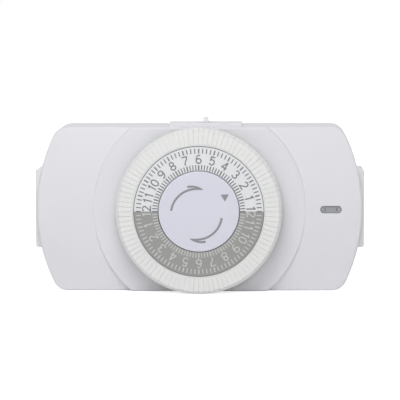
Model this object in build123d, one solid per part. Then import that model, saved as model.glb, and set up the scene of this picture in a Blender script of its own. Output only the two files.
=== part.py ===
from build123d import *
import math
import os

# A plug-in timer switch: a 24-hour mechanical dial timer that plugs into a grounded wall outlet and
# carries one switched outlet in each end.
#
# Every piece is drawn as seen from the front: X to the right, Y up, Z out of the wall, in millimetres.
# Z = 0 is the back of the case, which lies against the wall, and the dial turns about the Z axis.
# save() stands the pieces up, so that in the finished part +Z is up and the front faces -Y.

# ---- Driving dimensions (mm) ----

# case
CASE_HEIGHT = 76.0          # bottom edge to top edge
CASE_REACH = 75.1           # dial axis to the middle of each bowed end
END_RADIUS = 79.5           # bow of each end
CORNER_RADIUS = 7.5
CASE_DEPTH = 36.0           # back of the case to the flat land round the dial
REAR_DEPTH = 14.0           # back of the case to the parting line
WALL = 2.2
EDGE_RADIUS = 1.0           # rounding of the outer front and back edges
LAND_RADIUS = 49.3          # flat land round the dial
LAND_RISE = 0.25            # land above the crest of the wings
CROWN_RADIUS = 260.0        # bow of the wings, top to bottom
TONGUE_THICKNESS = 1.0      # lap joint between the covers
TONGUE_HEIGHT = 1.5
SEAM_CLEARANCE = 0.1        # pieces of the case that slide into each other

# fits
RUNNING_CLEARANCE = 0.06    # radial, on turning shafts
SLIDE_CLEARANCE = 0.1       # on sliding pieces
SEAT_CLEARANCE = 0.05       # on pieces pressed or dropped into a seat

# screws
CASE_SCREW_INSET_X = 16.4    # from the middle of each bowed end
CASE_SCREW_INSET_Y = 10.0    # from the top and bottom edges
CASE_SCREW_RADIUS = 1.45
CASE_SCREW_LENGTH = 24.0
CASE_HEAD_RADIUS = 2.9
CASE_HEAD_HEIGHT = 2.2
CASE_HEAD_SINK = 0.6        # head below the back of the case
CASE_BOSS_RADIUS = 4.2
PLATE_SCREW_RADIUS = 1.2
PLATE_SCREW_LENGTH = 7.0
PLATE_HEAD_RADIUS = 2.6
PLATE_HEAD_HEIGHT = 1.5
PLATE_BOSS_RADIUS = 3.0
SCREW_CLEARANCE = 0.05      # screw thread in its pilot hole
SCREW_PASSAGE = 0.25        # screw shank in the piece that it clamps
SCREW_END_GAP = 1.0         # hole deeper than the screw in it
CROSS_LENGTH = 2.8          # cross recess in a screw head
CROSS_WIDTH = 0.7
CROSS_DEPTH = 1.0

# dial and pins
PINS_PER_HOUR = 4
HOURS = 24
DIAL_RADIUS = 38.0          # tips of the pins
DIAL_FRONT = 48.0           # front of the pins
PIN_INNER_RADIUS = 30.5
PIN_TRAVEL = 2.4            # a pin pulled out to a pin pushed in, level with the back of the hub
PIN_HALF_ANGLE = 1.5        # degrees
PIN_SIDE_CLEARANCE = 0.1    # degrees, pin in its slot
PIN_CHAMFER = 1.3           # front outer edge
PIN_HEEL_CHAMFER = 0.5      # back outer edge
PIN_HOOK_DEPTH = 0.9        # hook that keeps a pin in the dial
PIN_HOOK_HEIGHT = 1.4
RIB_SHORTFALL = 1.4         # ribs between the pins end inside the tips of the pins
RIB_DROP = 0.25             # front of the ribs behind the front of the pins
RIM_BACK = 39.0
RIM_INNER_RADIUS = 28.9
RIM_LIP = 0.5               # lip between the number ring and the pins
NUMBER_RING_BORE = 18.8
NUMBER_RING_THICKNESS = 1.2
NUMBER_RING_DROP = 0.6      # face of the number ring behind the front of the pins
WEB_BACK = 41.0
WEB_THICKNESS = 1.6
INNER_WALL_THICKNESS = 1.5
HUB_RADIUS = 8.0
HUB_HEIGHT = 7.7
DIAL_GAP = 0.8              # hub above the land

# centre post and cap
POST_RADIUS = 5.0
POST_NECK_RADIUS = 4.15
POST_NECK_HEIGHT = 1.4
COLLAR_RADIUS = 8.0
AXIAL_PLAY = 0.1
CAP_RADIUS = 18.3
CAP_THICKNESS = 1.6
CAP_DROP = 0.4              # face of the cap behind the front of the pins
CAP_STEM_RADIUS = 2.4
CAP_STEM_LENGTH = 7.0
CAP_EDGE_RADIUS = 0.3
RETAINER_RADIUS = 7.2
RETAINER_THICKNESS = 0.8

# gears
MODULE = 0.6
PRESSURE_ANGLE = 25.0       # degrees
ADDENDUM = 0.8              # in modules, stub teeth
DEDENDUM = 1.1
RING_TEETH = 80
PINION_TEETH = 12
CLUTCH_TEETH = 40
TOOTH_THINNING = 0.06       # backlash taken off each tooth at the pitch circle
GEAR_RING_HEIGHT = 3.7
DRIVE_PINION_HEIGHT = 3.2
DRIVE_PINION_GAP = 0.5      # pinion below the web of the dial
CLUTCH_WHEEL_WIDTH = 2.4
CLUTCH_HOLE_RADIUS = 1.6    # holes that lighten the clutch wheel
CLUTCH_HOLE_CIRCLE = 7.6
CLUTCH_HOLES = 6
SHAFT_RADIUS = 1.5
MOTOR_SHAFT_RADIUS = 1.2
SHAFT_COLLAR_RADIUS = 4.0
SHAFT_COLLAR_HEIGHT = 0.8
CLUTCH_SPRING_RADIUS = 4.2
CLUTCH_SPRING_THICKNESS = 0.5
GEAR_GAP = 0.3              # clutch wheel above the gear plate

# gear plate
PLATE_LEFT = -38.0
PLATE_RIGHT = 48.0
PLATE_MARGIN = 15.0          # case edge to the top and bottom of the plate
PLATE_THICKNESS = 1.6
PLATE_BACK = 27.0
PLATE_SCREW_INSET = 4.0
PLATE_CORNER_RADIUS = 3.0

# motor
MOTOR_RADIUS = 20.0
MOTOR_X = -8.0
MOTOR_Y = -10.0
MOTOR_HEIGHT = 15.0
MOTOR_WALL = 0.8
MOTOR_COVER_THICKNESS = 1.4
MOTOR_BEARING_RADIUS = 2.6
MOTOR_BEARING_HEIGHT = 4.6
MOTOR_PEG_RADIUS = 1.5       # pegs staked into the gear plate
MOTOR_LEAD_DEPTH = 9.0       # motor leads come out behind the gear plate
COIL_RADIUS = 17.5
COIL_BORE = 9.0
COIL_HEIGHT = 6.0

# trip lever and microswitch
LEVER_SWING = 12.0          # degrees
LEVER_PIVOT_X = 44.0
LEVER_PIVOT_Z = 31.2
LEVER_THICKNESS = 2.0
LEVER_HALF_WIDTH = 1.6
LEVER_HUB_RADIUS = 2.0
LEVER_HUB_HALF_LENGTH = 2.7
LEVER_PIN_RADIUS = 0.8
NOSE_RADIUS = 34.0          # nose from the dial axis
NOSE_THICKNESS = 1.8
NOSE_HALF_WIDTH = 0.8
NOSE_TIP = 38.6
NOSE_CLEARANCE = 0.4        # beside the nose in its window
EAR_THICKNESS = 1.6
EAR_HALF_WIDTH = 2.2
MICROSWITCH_X = 39.2
MICROSWITCH_LENGTH = 20.0
MICROSWITCH_WIDTH = 6.4
MICROSWITCH_HEIGHT = 10.2
PLUNGER_RADIUS = 1.0
PLUNGER_LENGTH = 6.1
PLUNGER_TRAVEL = 1.2
PLUNGER_GAP = 0.1           # plunger below the lever at rest

# outlets
PAD_HEIGHT = 36.0
PAD_DEPTH = 26.0
PAD_MIDDLE_Z = 18.0
PAD_RISE = 0.9              # face of each outlet proud of the bowed end
PAD_THICKNESS = 6.0         # face to the front of the flange
PAD_EDGE_RADIUS = 0.9
FLANGE_THICKNESS = 2.0
FLANGE_MARGIN_Y = 1.9
FLANGE_MARGIN_Z = 1.0
BLOCK_HALF_HEIGHT = 15.5
BLOCK_HALF_DEPTH = 10.0
BLOCK_BACK = 54.0           # dial axis to the inner end of the contact block
FACE_THICKNESS = 2.4
SLOT_SPACING = 12.7         # standard blade spacing
GROUND_DROP = 11.9          # standard ground pin below the blades
BLADE_LINE_Y = 4.6          # blade slots above the middle of the pad
SLOT_WIDTH = 2.0
HOT_SLOT_HEIGHT = 6.8
NEUTRAL_SLOT_HEIGHT = 8.3
GROUND_HOLE_RADIUS = 2.9
GROUND_HOLE_TOP = 2.3       # flat top of the ground hole above its centre

# contacts and bus strips
STRIP_THICKNESS = 0.8
STRIP_WIDTH = 5.0
LEAF_THICKNESS = 0.5
LEAF_GAP = 1.4
LEAF_HALF_HEIGHT = 3.2
CONTACT_DEPTH = 3.3         # ends of the contacts behind the face of the outlet
GROUND_CONTACT_GAP = 4.7
POCKET_CLEARANCE = 0.3
NEUTRAL_STRIP_Y = 14.5
NEUTRAL_STRIP_Z = 8.6
HOT_STRIP_GAP = 1.9          # hot strip below the override switch
HOT_STRIP_Z = 10.4
GROUND_STRIP_Y = -6.6
GROUND_STRIP_Z = 7.4
RISER_X = 51.2              # inner face of the neutral and ground risers
HOT_RISER_X = 48.8

# plug
PLUG_LINE_Y = 6.0           # plug blades above the dial axis
BLADE_THICKNESS = 1.5
BLADE_HEIGHT = 6.3
BLADE_REACH = 17.5          # beyond the back of the case
BLADE_HOLE_RADIUS = 1.6
BLADE_HOLE_INSET = 4.2      # from the tip of the blade
GROUND_PIN_RADIUS = 2.38
GROUND_PIN_REACH = 20.6
GROUND_ROOT_RADIUS = 2.6    # thicker root, inside the case
GROUND_TAIL_RADIUS = 1.5
PLUG_BASE_WIDTH = 28.0
PLUG_BASE_HEIGHT = 28.0
PLUG_BASE_DEPTH = 5.0
SHOULDER_DEPTH = 3.0
SHOULDER_MARGIN = 1.2
BLADE_CLEARANCE = 0.15
PLUG_RIM_THICKNESS = 1.2
PLUG_RIM_HEIGHT = 3.0

# override switch
KNOB_X = 2.8
KNOB_WIDTH = 2.8
KNOB_DEPTH = 8.0
KNOB_HEIGHT = 2.3           # above the bezel
KNOB_TRAVEL = 3.0           # each way
KNOB_NECK_DEPTH = 4.0
SLIDER_LENGTH = 11.0
SLIDER_DEPTH = 8.8
SLIDER_THICKNESS = 1.6
BEZEL_X = 2.8
BEZEL_LENGTH = 33.6
BEZEL_DEPTH = 16.0
BEZEL_Z = 22.6
BEZEL_RISE = 1.6
BEZEL_EDGE_RADIUS = 0.4
BEZEL_PEG_RADIUS = 1.0
BEZEL_PEG_SPACING = 25.0
SWITCH_LENGTH = 25.6
SWITCH_DEPTH = 11.8
SWITCH_HEIGHT = 9.4
SWITCH_RIB_THICKNESS = 1.2

# indicator
LENS_INSET = 15.4           # face of the right outlet to the middle of the lens
LENS_Y = -0.1
LENS_LENGTH = 10.0
LENS_HEIGHT = 3.3
LENS_RISE = 0.1
LENS_FLANGE_MARGIN = 1.0
LENS_FLANGE_THICKNESS = 0.8
LAMP_RADIUS = 1.9
LAMP_LENGTH = 7.0
LAMP_INSET = 0.4            # lamp from the inner end of the contact block
LAMP_FLOOR = 0.6            # lamp above the contact block
LEG_SPACING = 1.8           # legs of the lamp, both at its inner end
CRADLE_THICKNESS = 1.2
CRADLE_HALF_WIDTH = 3.0
CRADLE_SPACING = 4.6
RESISTOR_RADIUS = 1.2
RESISTOR_LENGTH = 6.5
RESISTOR_Y = 2.6
RESISTOR_RISE = 2.4         # above the hot strip's contact bar

# leads
LEAD_RADIUS = 0.55
LEG_RADIUS = 0.3            # bare legs of the lamp and the resistor
LEAD_BEND = 1.2
LEAD_SPREAD = 1.2           # half the distance between the two motor leads
LEAD_DROP = 3.0             # straight run out of the back of the microswitch
LEAD_STANDOFF = 1.4         # lead past the motor
MOTOR_LEAD_RISE = 2.3       # motor lead above the other lead on the hot blade
TURN_DISTANCE = 12.0        # hot lead's turn beside the motor
TERMINAL_INSET = 2.0        # terminals from the ends of the microswitch

# ---- Sizes that follow ----

HALF_HEIGHT = CASE_HEIGHT / 2
CASE_SCREW_X = CASE_REACH - CASE_SCREW_INSET_X
CASE_SCREW_Y = HALF_HEIGHT - CASE_SCREW_INSET_Y
CROWN_CREST = CASE_DEPTH - LAND_RISE
CROWN_AXIS_Z = CROWN_CREST - CROWN_RADIUS
INNER_CREST = CROWN_CREST - WALL
PLATE_FRONT = PLATE_BACK + PLATE_THICKNESS
PLATE_HALF_HEIGHT = HALF_HEIGHT - PLATE_MARGIN
PIN_COUNT = PINS_PER_HOUR * HOURS
PIN_PITCH = 360.0 / PIN_COUNT
TRIP_ANGLE = PIN_PITCH / 2                  # the pin above the trip lever
TRIP_Y = NOSE_RADIUS * math.sin(math.radians(TRIP_ANGLE))
DRIVE_DISTANCE = MODULE * (RING_TEETH - PINION_TEETH) / 2
MOTOR_DISTANCE = MODULE * (CLUTCH_TEETH + PINION_TEETH) / 2
DRIVE_X = -DRIVE_DISTANCE
MOTOR_SHAFT_Y = -MOTOR_DISTANCE
CLUTCH_BACK = PLATE_FRONT + GEAR_GAP
COLLAR_BACK = CLUTCH_BACK + CLUTCH_WHEEL_WIDTH + CLUTCH_SPRING_THICKNESS + 2 * AXIAL_PLAY
HUB_BACK = CASE_DEPTH + DIAL_GAP
HUB_FRONT = HUB_BACK + HUB_HEIGHT
PIN_BACK = HUB_BACK + PIN_TRAVEL             # back of a pin that is pulled out
RIB_RADIUS = DIAL_RADIUS - RIB_SHORTFALL
NUMBER_RING_RADIUS = PIN_INNER_RADIUS - RIM_LIP - SLIDE_CLEARANCE
NUMBER_RING_FACE = DIAL_FRONT - NUMBER_RING_DROP
NUMBER_RING_BACK = NUMBER_RING_FACE - NUMBER_RING_THICKNESS
CAP_FACE = DIAL_FRONT - CAP_DROP
CAP_BACK = CAP_FACE - CAP_THICKNESS
POST_STEP = HUB_FRONT + AXIAL_PLAY
KNOB_Z = BEZEL_Z
SWITCH_X = KNOB_X
SWITCH_BOTTOM = HALF_HEIGHT - WALL - SWITCH_HEIGHT
HOT_STRIP_Y = SWITCH_BOTTOM - HOT_STRIP_GAP - STRIP_WIDTH / 2
PAD_REACH = CASE_REACH + PAD_RISE
CONTACT_TIP = PAD_REACH - CONTACT_DEPTH
LENS_X = PAD_REACH - LENS_INSET
LAMP_X = BLOCK_BACK + LAMP_INSET + LAMP_LENGTH / 2
LAMP_Z = PAD_MIDDLE_Z + BLOCK_HALF_DEPTH + LAMP_FLOOR + LAMP_RADIUS
GROUND_LINE_Y = BLADE_LINE_Y - GROUND_DROP
GROUND_PIN_Y = PLUG_LINE_Y - GROUND_DROP
PLUG_BASE_FRONT = WALL + PLUG_BASE_DEPTH


# ---- Helpers ----

def block(x0, x1, y0, y1, z0, z1):
    """A box between two corners."""
    size = Vector(x1 - x0, y1 - y0, z1 - z0)
    middle = Vector((x0 + x1) / 2, (y0 + y1) / 2, (z0 + z1) / 2)
    return Pos(middle) * Box(abs(size.X), abs(size.Y), abs(size.Z))


def rod(x, y, z0, z1, radius):
    """A cylinder along Z."""
    return Pos(x, y, (z0 + z1) / 2) * Cylinder(radius, z1 - z0)


def ring(x, y, z0, z1, outer, inner):
    """A tube along Z."""
    return rod(x, y, z0, z1, outer) - rod(x, y, z0 - 1, z1 + 1, inner)


def rod_along_y(x, z, y0, y1, radius):
    """A cylinder along Y."""
    return Pos(x, (y0 + y1) / 2, z) * Rot(90, 0, 0) * Cylinder(radius, y1 - y0)


def rod_along_x(y, z, x0, x1, radius):
    """A cylinder along X."""
    return Pos((x0 + x1) / 2, y, z) * Rot(0, 90, 0) * Cylinder(radius, x1 - x0)


def polar(radius, angle):
    """A point in the XY plane, the angle in radians."""
    return (radius * math.cos(angle), radius * math.sin(angle))


def polygon(points):
    """A flat face with straight sides."""
    return make_face(Polyline(*points, close=True))


def prism(points, z0, z1):
    """A polygon in XY drawn out along Z."""
    return Pos(0, 0, z0) * extrude(polygon(points), z1 - z0)


def turned_end_for_end(piece):
    """The piece turned half round about the upright line through the middle of the outlets."""
    return Pos(0, 0, PAD_MIDDLE_Z) * Rot(0, 180, 0) * Pos(0, 0, -PAD_MIDDLE_Z) * piece


def four_corners(x, y):
    return [(sx * x, sy * y) for sx in (-1, 1) for sy in (-1, 1)]


def plate_screw_places():
    left, right = PLATE_LEFT + PLATE_SCREW_INSET, PLATE_RIGHT - PLATE_SCREW_INSET
    up = PLATE_HALF_HEIGHT - PLATE_SCREW_INSET
    return [(x, y) for x in (left, right) for y in (-up, up)]


def save(name, piece):
    """Stand a piece up, so that +Z is up and the front faces -Y, and write it."""
    export_step(Plane.XZ.location * Compound(piece.solids()), f"parts/{name}.step")


# ---- Case ----

def case_outline(inset):
    """The front outline of the case, moved inwards by the inset: straight edges and bowed ends."""
    half_height, reach, bow = HALF_HEIGHT - inset, CASE_REACH - inset, END_RADIUS - inset
    corner_x = reach - bow + math.sqrt(bow ** 2 - half_height ** 2)
    lines = []
    for side in (-1, 1):
        top, bottom = (side * corner_x, half_height), (side * corner_x, -half_height)
        lines.append(ThreePointArc(top, (side * reach, 0), bottom))
    for y in (-half_height, half_height):
        lines.append(Line((-corner_x, y), (corner_x, y)))
    return fillet(make_face(lines).vertices(), CORNER_RADIUS - inset)


def case_block(inset, z0, z1):
    return Pos(0, 0, z0) * extrude(case_outline(inset), z1 - z0)


def crown(inset):
    """Everything behind the crowned face of the wings."""
    return Pos(0, 0, CROWN_AXIS_Z) * Rot(0, 90, 0) * Cylinder(CROWN_RADIUS - inset, 3 * CASE_REACH)


def front_edges(piece):
    """The edges round the front face of a block of the case."""
    front = [f for f in piece.faces() if f.normal_at().Z > 0.9]
    return front[0].edges()


def pad_window(clearance):
    """The opening in both ends of the case, which the outlet faces fill."""
    half_height = PAD_HEIGHT / 2 + clearance
    half_depth = PAD_DEPTH / 2 + clearance
    return block(-CASE_REACH - 1, CASE_REACH + 1, -half_height, half_height,
                 PAD_MIDDLE_Z - half_depth, PAD_MIDDLE_Z + half_depth)


def lens_slot(margin, z0, z1):
    """The oblong of the indicator lens, widened by a margin."""
    shape = SlotOverall(LENS_LENGTH + 2 * margin, LENS_HEIGHT + 2 * margin)
    return Pos(LENS_X, LENS_Y, z0) * extrude(shape, z1 - z0)


def knob_slot(y0, y1):
    """The slot that the neck of the override knob slides in."""
    half_length = KNOB_WIDTH / 2 + KNOB_TRAVEL + SLIDE_CLEARANCE
    half_depth = KNOB_NECK_DEPTH / 2 + SLIDE_CLEARANCE
    return block(KNOB_X - half_length, KNOB_X + half_length, y0, y1,
                 KNOB_Z - half_depth, KNOB_Z + half_depth)


def bezel_pegs(radius):
    pegs = [rod_along_y(BEZEL_X + side * BEZEL_PEG_SPACING / 2, BEZEL_Z,
                        HALF_HEIGHT - WALL, HALF_HEIGHT + BEZEL_RISE / 2, radius)
            for side in (-1, 1)]
    return pegs[0] + pegs[1]


def front_cover():
    # outer form: crowned wings and, proud of them, the flat land round the dial
    wings = case_block(0, REAR_DEPTH, CASE_DEPTH) & crown(0)
    wings = fillet(front_edges(wings), EDGE_RADIUS)
    land_sketch = case_outline(0) & Circle(LAND_RADIUS)
    land = Pos(0, 0, REAR_DEPTH) * extrude(land_sketch, CASE_DEPTH - REAR_DEPTH)
    land = fillet(front_edges(land), EDGE_RADIUS)
    cover = wings + land
    # hollow, with the seat of the lap joint
    cover -= case_block(WALL, REAR_DEPTH - 1, CASE_DEPTH) & crown(WALL)
    groove = WALL - TONGUE_THICKNESS - SEAM_CLEARANCE
    cover -= case_block(groove, REAR_DEPTH - 1, REAR_DEPTH + TONGUE_HEIGHT + SEAM_CLEARANCE)
    cover -= pad_window(SEAM_CLEARANCE)
    # bosses for the case screws and for the gear plate
    behind_face = CASE_DEPTH - WALL / 2
    for x, y in four_corners(CASE_SCREW_X, CASE_SCREW_Y):
        cover += rod(x, y, REAR_DEPTH, behind_face, CASE_BOSS_RADIUS) & crown(WALL / 2)
        cover -= rod(x, y, REAR_DEPTH - 1, CASE_HEAD_SINK + CASE_HEAD_HEIGHT + CASE_SCREW_LENGTH,
                     CASE_SCREW_RADIUS + SCREW_CLEARANCE)
    for x, y in plate_screw_places():
        cover += rod(x, y, PLATE_FRONT, behind_face, PLATE_BOSS_RADIUS)
        cover -= rod(x, y, PLATE_FRONT - 1, PLATE_BACK + PLATE_SCREW_LENGTH,
                     PLATE_SCREW_RADIUS + SCREW_CLEARANCE)
    # ribs that hold the override switch under the top wall
    rib_half = SWITCH_LENGTH / 2 + SEAT_CLEARANCE
    for side in (-1, 1):
        inner = SWITCH_X + side * rib_half
        rib = block(inner, inner + side * SWITCH_RIB_THICKNESS, SWITCH_BOTTOM, HALF_HEIGHT - WALL / 2,
                    KNOB_Z - SWITCH_DEPTH / 2, behind_face)
        cover += rib & crown(WALL / 2)
    # centre post, on which the dial turns
    cover += rod(0, 0, CASE_DEPTH - WALL / 2, HUB_BACK - AXIAL_PLAY, COLLAR_RADIUS)
    cover += rod(0, 0, CASE_DEPTH - WALL / 2, POST_STEP, POST_RADIUS)
    cover += rod(0, 0, CASE_DEPTH, POST_STEP + POST_NECK_HEIGHT, POST_NECK_RADIUS)
    cover -= rod(0, 0, CAP_BACK - CAP_STEM_LENGTH - SEAT_CLEARANCE, CAP_BACK + 1,
                 CAP_STEM_RADIUS + SEAT_CLEARANCE)
    # shaft bearing, lever window, lens hole, knob slot and bezel peg holes
    cover -= rod(DRIVE_X, 0, PLATE_FRONT, CASE_DEPTH + 1, SHAFT_RADIUS + RUNNING_CLEARANCE)
    cover -= nose_window()
    cover -= lens_slot(SEAT_CLEARANCE, INNER_CREST - 1, CASE_DEPTH + 1)
    cover -= knob_slot(HALF_HEIGHT - 2 * WALL, HALF_HEIGHT + 1)
    cover -= bezel_pegs(BEZEL_PEG_RADIUS + SEAT_CLEARANCE)
    return cover


def nose_window():
    """The window in the front wall that the nose of the trip lever swings in."""
    swing = math.radians(LEVER_SWING)
    reach = NOSE_RADIUS - NOSE_THICKNESS / 2 - (NOSE_TIP - LEVER_PIVOT_Z) * math.sin(swing)
    half_width = NOSE_HALF_WIDTH + NOSE_CLEARANCE
    return block(reach - NOSE_CLEARANCE, NOSE_RADIUS + NOSE_THICKNESS / 2 + NOSE_CLEARANCE,
                 TRIP_Y - half_width, TRIP_Y + half_width, INNER_CREST - 1, CASE_DEPTH + 1)


def rear_cover():
    cover = case_block(0, 0, REAR_DEPTH)
    back = [f for f in cover.faces() if f.normal_at().Z < -0.9]
    cover = fillet(back[0].edges(), EDGE_RADIUS)
    cover -= case_block(WALL, WALL, REAR_DEPTH + 1)
    # tongue of the lap joint
    tongue = case_block(WALL - TONGUE_THICKNESS, REAR_DEPTH - 1, REAR_DEPTH + TONGUE_HEIGHT)
    cover += tongue - case_block(WALL, REAR_DEPTH - 2, REAR_DEPTH + TONGUE_HEIGHT + 1)
    cover -= pad_window(SEAM_CLEARANCE)
    # screw towers, with the heads sunk into the back
    head_floor = CASE_HEAD_SINK + CASE_HEAD_HEIGHT
    for x, y in four_corners(CASE_SCREW_X, CASE_SCREW_Y):
        cover += rod(x, y, WALL / 2, REAR_DEPTH, CASE_BOSS_RADIUS)
        cover -= rod(x, y, -1, REAR_DEPTH + 1, CASE_SCREW_RADIUS + SCREW_PASSAGE)
        cover -= rod(x, y, -1, head_floor, CASE_HEAD_RADIUS + SCREW_PASSAGE)
    # rim round the plug base, and the holes for the blades and the ground pin
    half_width = PLUG_BASE_WIDTH / 2 + SEAM_CLEARANCE
    half_height = PLUG_BASE_HEIGHT / 2 + SEAM_CLEARANCE
    rim = block(-half_width - PLUG_RIM_THICKNESS, half_width + PLUG_RIM_THICKNESS,
                -half_height - PLUG_RIM_THICKNESS, half_height + PLUG_RIM_THICKNESS,
                WALL / 2, WALL + PLUG_RIM_HEIGHT)
    cover += rim - block(-half_width, half_width, -half_height, half_height,
                         WALL, WALL + PLUG_RIM_HEIGHT + 1)
    for side in (-1, 1):
        cover -= blade(side, BLADE_CLEARANCE, -1, WALL + 1)
    cover -= rod(0, GROUND_PIN_Y, -1, WALL + 1, GROUND_ROOT_RADIUS + BLADE_CLEARANCE)
    return cover


def case_screws():
    screws = []
    head_floor = CASE_HEAD_SINK + CASE_HEAD_HEIGHT
    for x, y in four_corners(CASE_SCREW_X, CASE_SCREW_Y):
        screw = rod(x, y, CASE_HEAD_SINK, head_floor, CASE_HEAD_RADIUS)
        screw += rod(x, y, head_floor, head_floor + CASE_SCREW_LENGTH - SCREW_END_GAP,
                     CASE_SCREW_RADIUS)
        screw -= cross_recess(x, y, CASE_HEAD_SINK)
        screws.append(screw)
    return Compound([s for screw in screws for s in screw.solids()])


def cross_recess(x, y, head_back):
    """The cross in a screw head, cut in from the back of the head."""
    bar = block(-CROSS_LENGTH / 2, CROSS_LENGTH / 2, -CROSS_WIDTH / 2, CROSS_WIDTH / 2,
                head_back - 1, head_back + CROSS_DEPTH)
    return Pos(x, y, 0) * (bar + Rot(0, 0, 90) * bar)


# ---- Plug ----

def blade(side, margin, z0, z1):
    """A blade's section, widened by a margin and drawn out along Z."""
    x = side * SLOT_SPACING / 2
    half_thickness = BLADE_THICKNESS / 2 + margin
    half_height = BLADE_HEIGHT / 2 + margin
    return block(x - half_thickness, x + half_thickness,
                 PLUG_LINE_Y - half_height, PLUG_LINE_Y + half_height, z0, z1)


def plug_blades():
    """The two flat blades, with a hole near each tip and a shoulder in the plug base."""
    shoulder_back = PLUG_BASE_FRONT - SHOULDER_DEPTH
    blades = []
    for side in (-1, 1):
        piece = blade(side, 0, -BLADE_REACH, NEUTRAL_STRIP_Z)
        tip = [e for e in piece.edges() if e.center().Z < 1 - BLADE_REACH]
        piece = chamfer(tip, BLADE_THICKNESS / 4)
        piece += blade(side, SHOULDER_MARGIN, shoulder_back, PLUG_BASE_FRONT)
        piece -= rod_along_x(PLUG_LINE_Y, BLADE_HOLE_INSET - BLADE_REACH, -SLOT_SPACING, SLOT_SPACING,
                             BLADE_HOLE_RADIUS)
        blades += piece.solids()
    return Compound(blades)


def ground_pin():
    """The ground pin: round tip, thicker root inside the case, shoulder in the plug base, and tail."""
    tip = Pos(0, 0, GROUND_PIN_RADIUS - GROUND_PIN_REACH) * Sphere(GROUND_PIN_RADIUS)
    pin = tip + rod(0, 0, GROUND_PIN_RADIUS - GROUND_PIN_REACH, PLUG_BASE_FRONT, GROUND_PIN_RADIUS)
    pin += rod(0, 0, 0, PLUG_BASE_FRONT, GROUND_ROOT_RADIUS)
    pin += rod(0, 0, PLUG_BASE_FRONT - SHOULDER_DEPTH, PLUG_BASE_FRONT,
               GROUND_ROOT_RADIUS + SHOULDER_MARGIN)
    pin += rod(0, 0, PLUG_BASE_FRONT - 1, GROUND_STRIP_Z, GROUND_TAIL_RADIUS)
    return Pos(0, GROUND_PIN_Y, 0) * pin


def plug_base():
    base = block(-PLUG_BASE_WIDTH / 2, PLUG_BASE_WIDTH / 2,
                 -PLUG_BASE_HEIGHT / 2, PLUG_BASE_HEIGHT / 2, WALL, PLUG_BASE_FRONT)
    shoulder_back = PLUG_BASE_FRONT - SHOULDER_DEPTH
    for side in (-1, 1):
        base -= blade(side, SEAT_CLEARANCE, 0, PLUG_BASE_FRONT + 1)
        base -= blade(side, SHOULDER_MARGIN + SEAT_CLEARANCE, shoulder_back, PLUG_BASE_FRONT + 1)
    base -= rod(0, GROUND_PIN_Y, 0, PLUG_BASE_FRONT + 1, GROUND_ROOT_RADIUS + SEAT_CLEARANCE)
    base -= rod(0, GROUND_PIN_Y, shoulder_back, PLUG_BASE_FRONT + 1,
                GROUND_ROOT_RADIUS + SHOULDER_MARGIN + SEAT_CLEARANCE)
    return base


# ---- Outlets ----

def contact_block_pocket(y, z, half_height, half_depth):
    """A pocket in the contact block, open at its inner end."""
    return block(BLOCK_BACK - 1, PAD_REACH - FACE_THICKNESS, y - half_height, y + half_height,
                 z - half_depth, z + half_depth)


def ground_hole(x0, x1):
    """The ground hole: round below and flat on top."""
    hole = rod_along_x(GROUND_LINE_Y, PAD_MIDDLE_Z, x0, x1, GROUND_HOLE_RADIUS)
    hole += block(x0, x1, GROUND_LINE_Y, GROUND_LINE_Y + GROUND_HOLE_TOP,
                  PAD_MIDDLE_Z - GROUND_HOLE_RADIUS, PAD_MIDDLE_Z + GROUND_HOLE_RADIUS)
    beyond = 2 * GROUND_HOLE_RADIUS
    return hole - block(x0, x1, GROUND_LINE_Y + GROUND_HOLE_TOP, GROUND_LINE_Y + beyond,
                        PAD_MIDDLE_Z - beyond, PAD_MIDDLE_Z + beyond)


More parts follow.
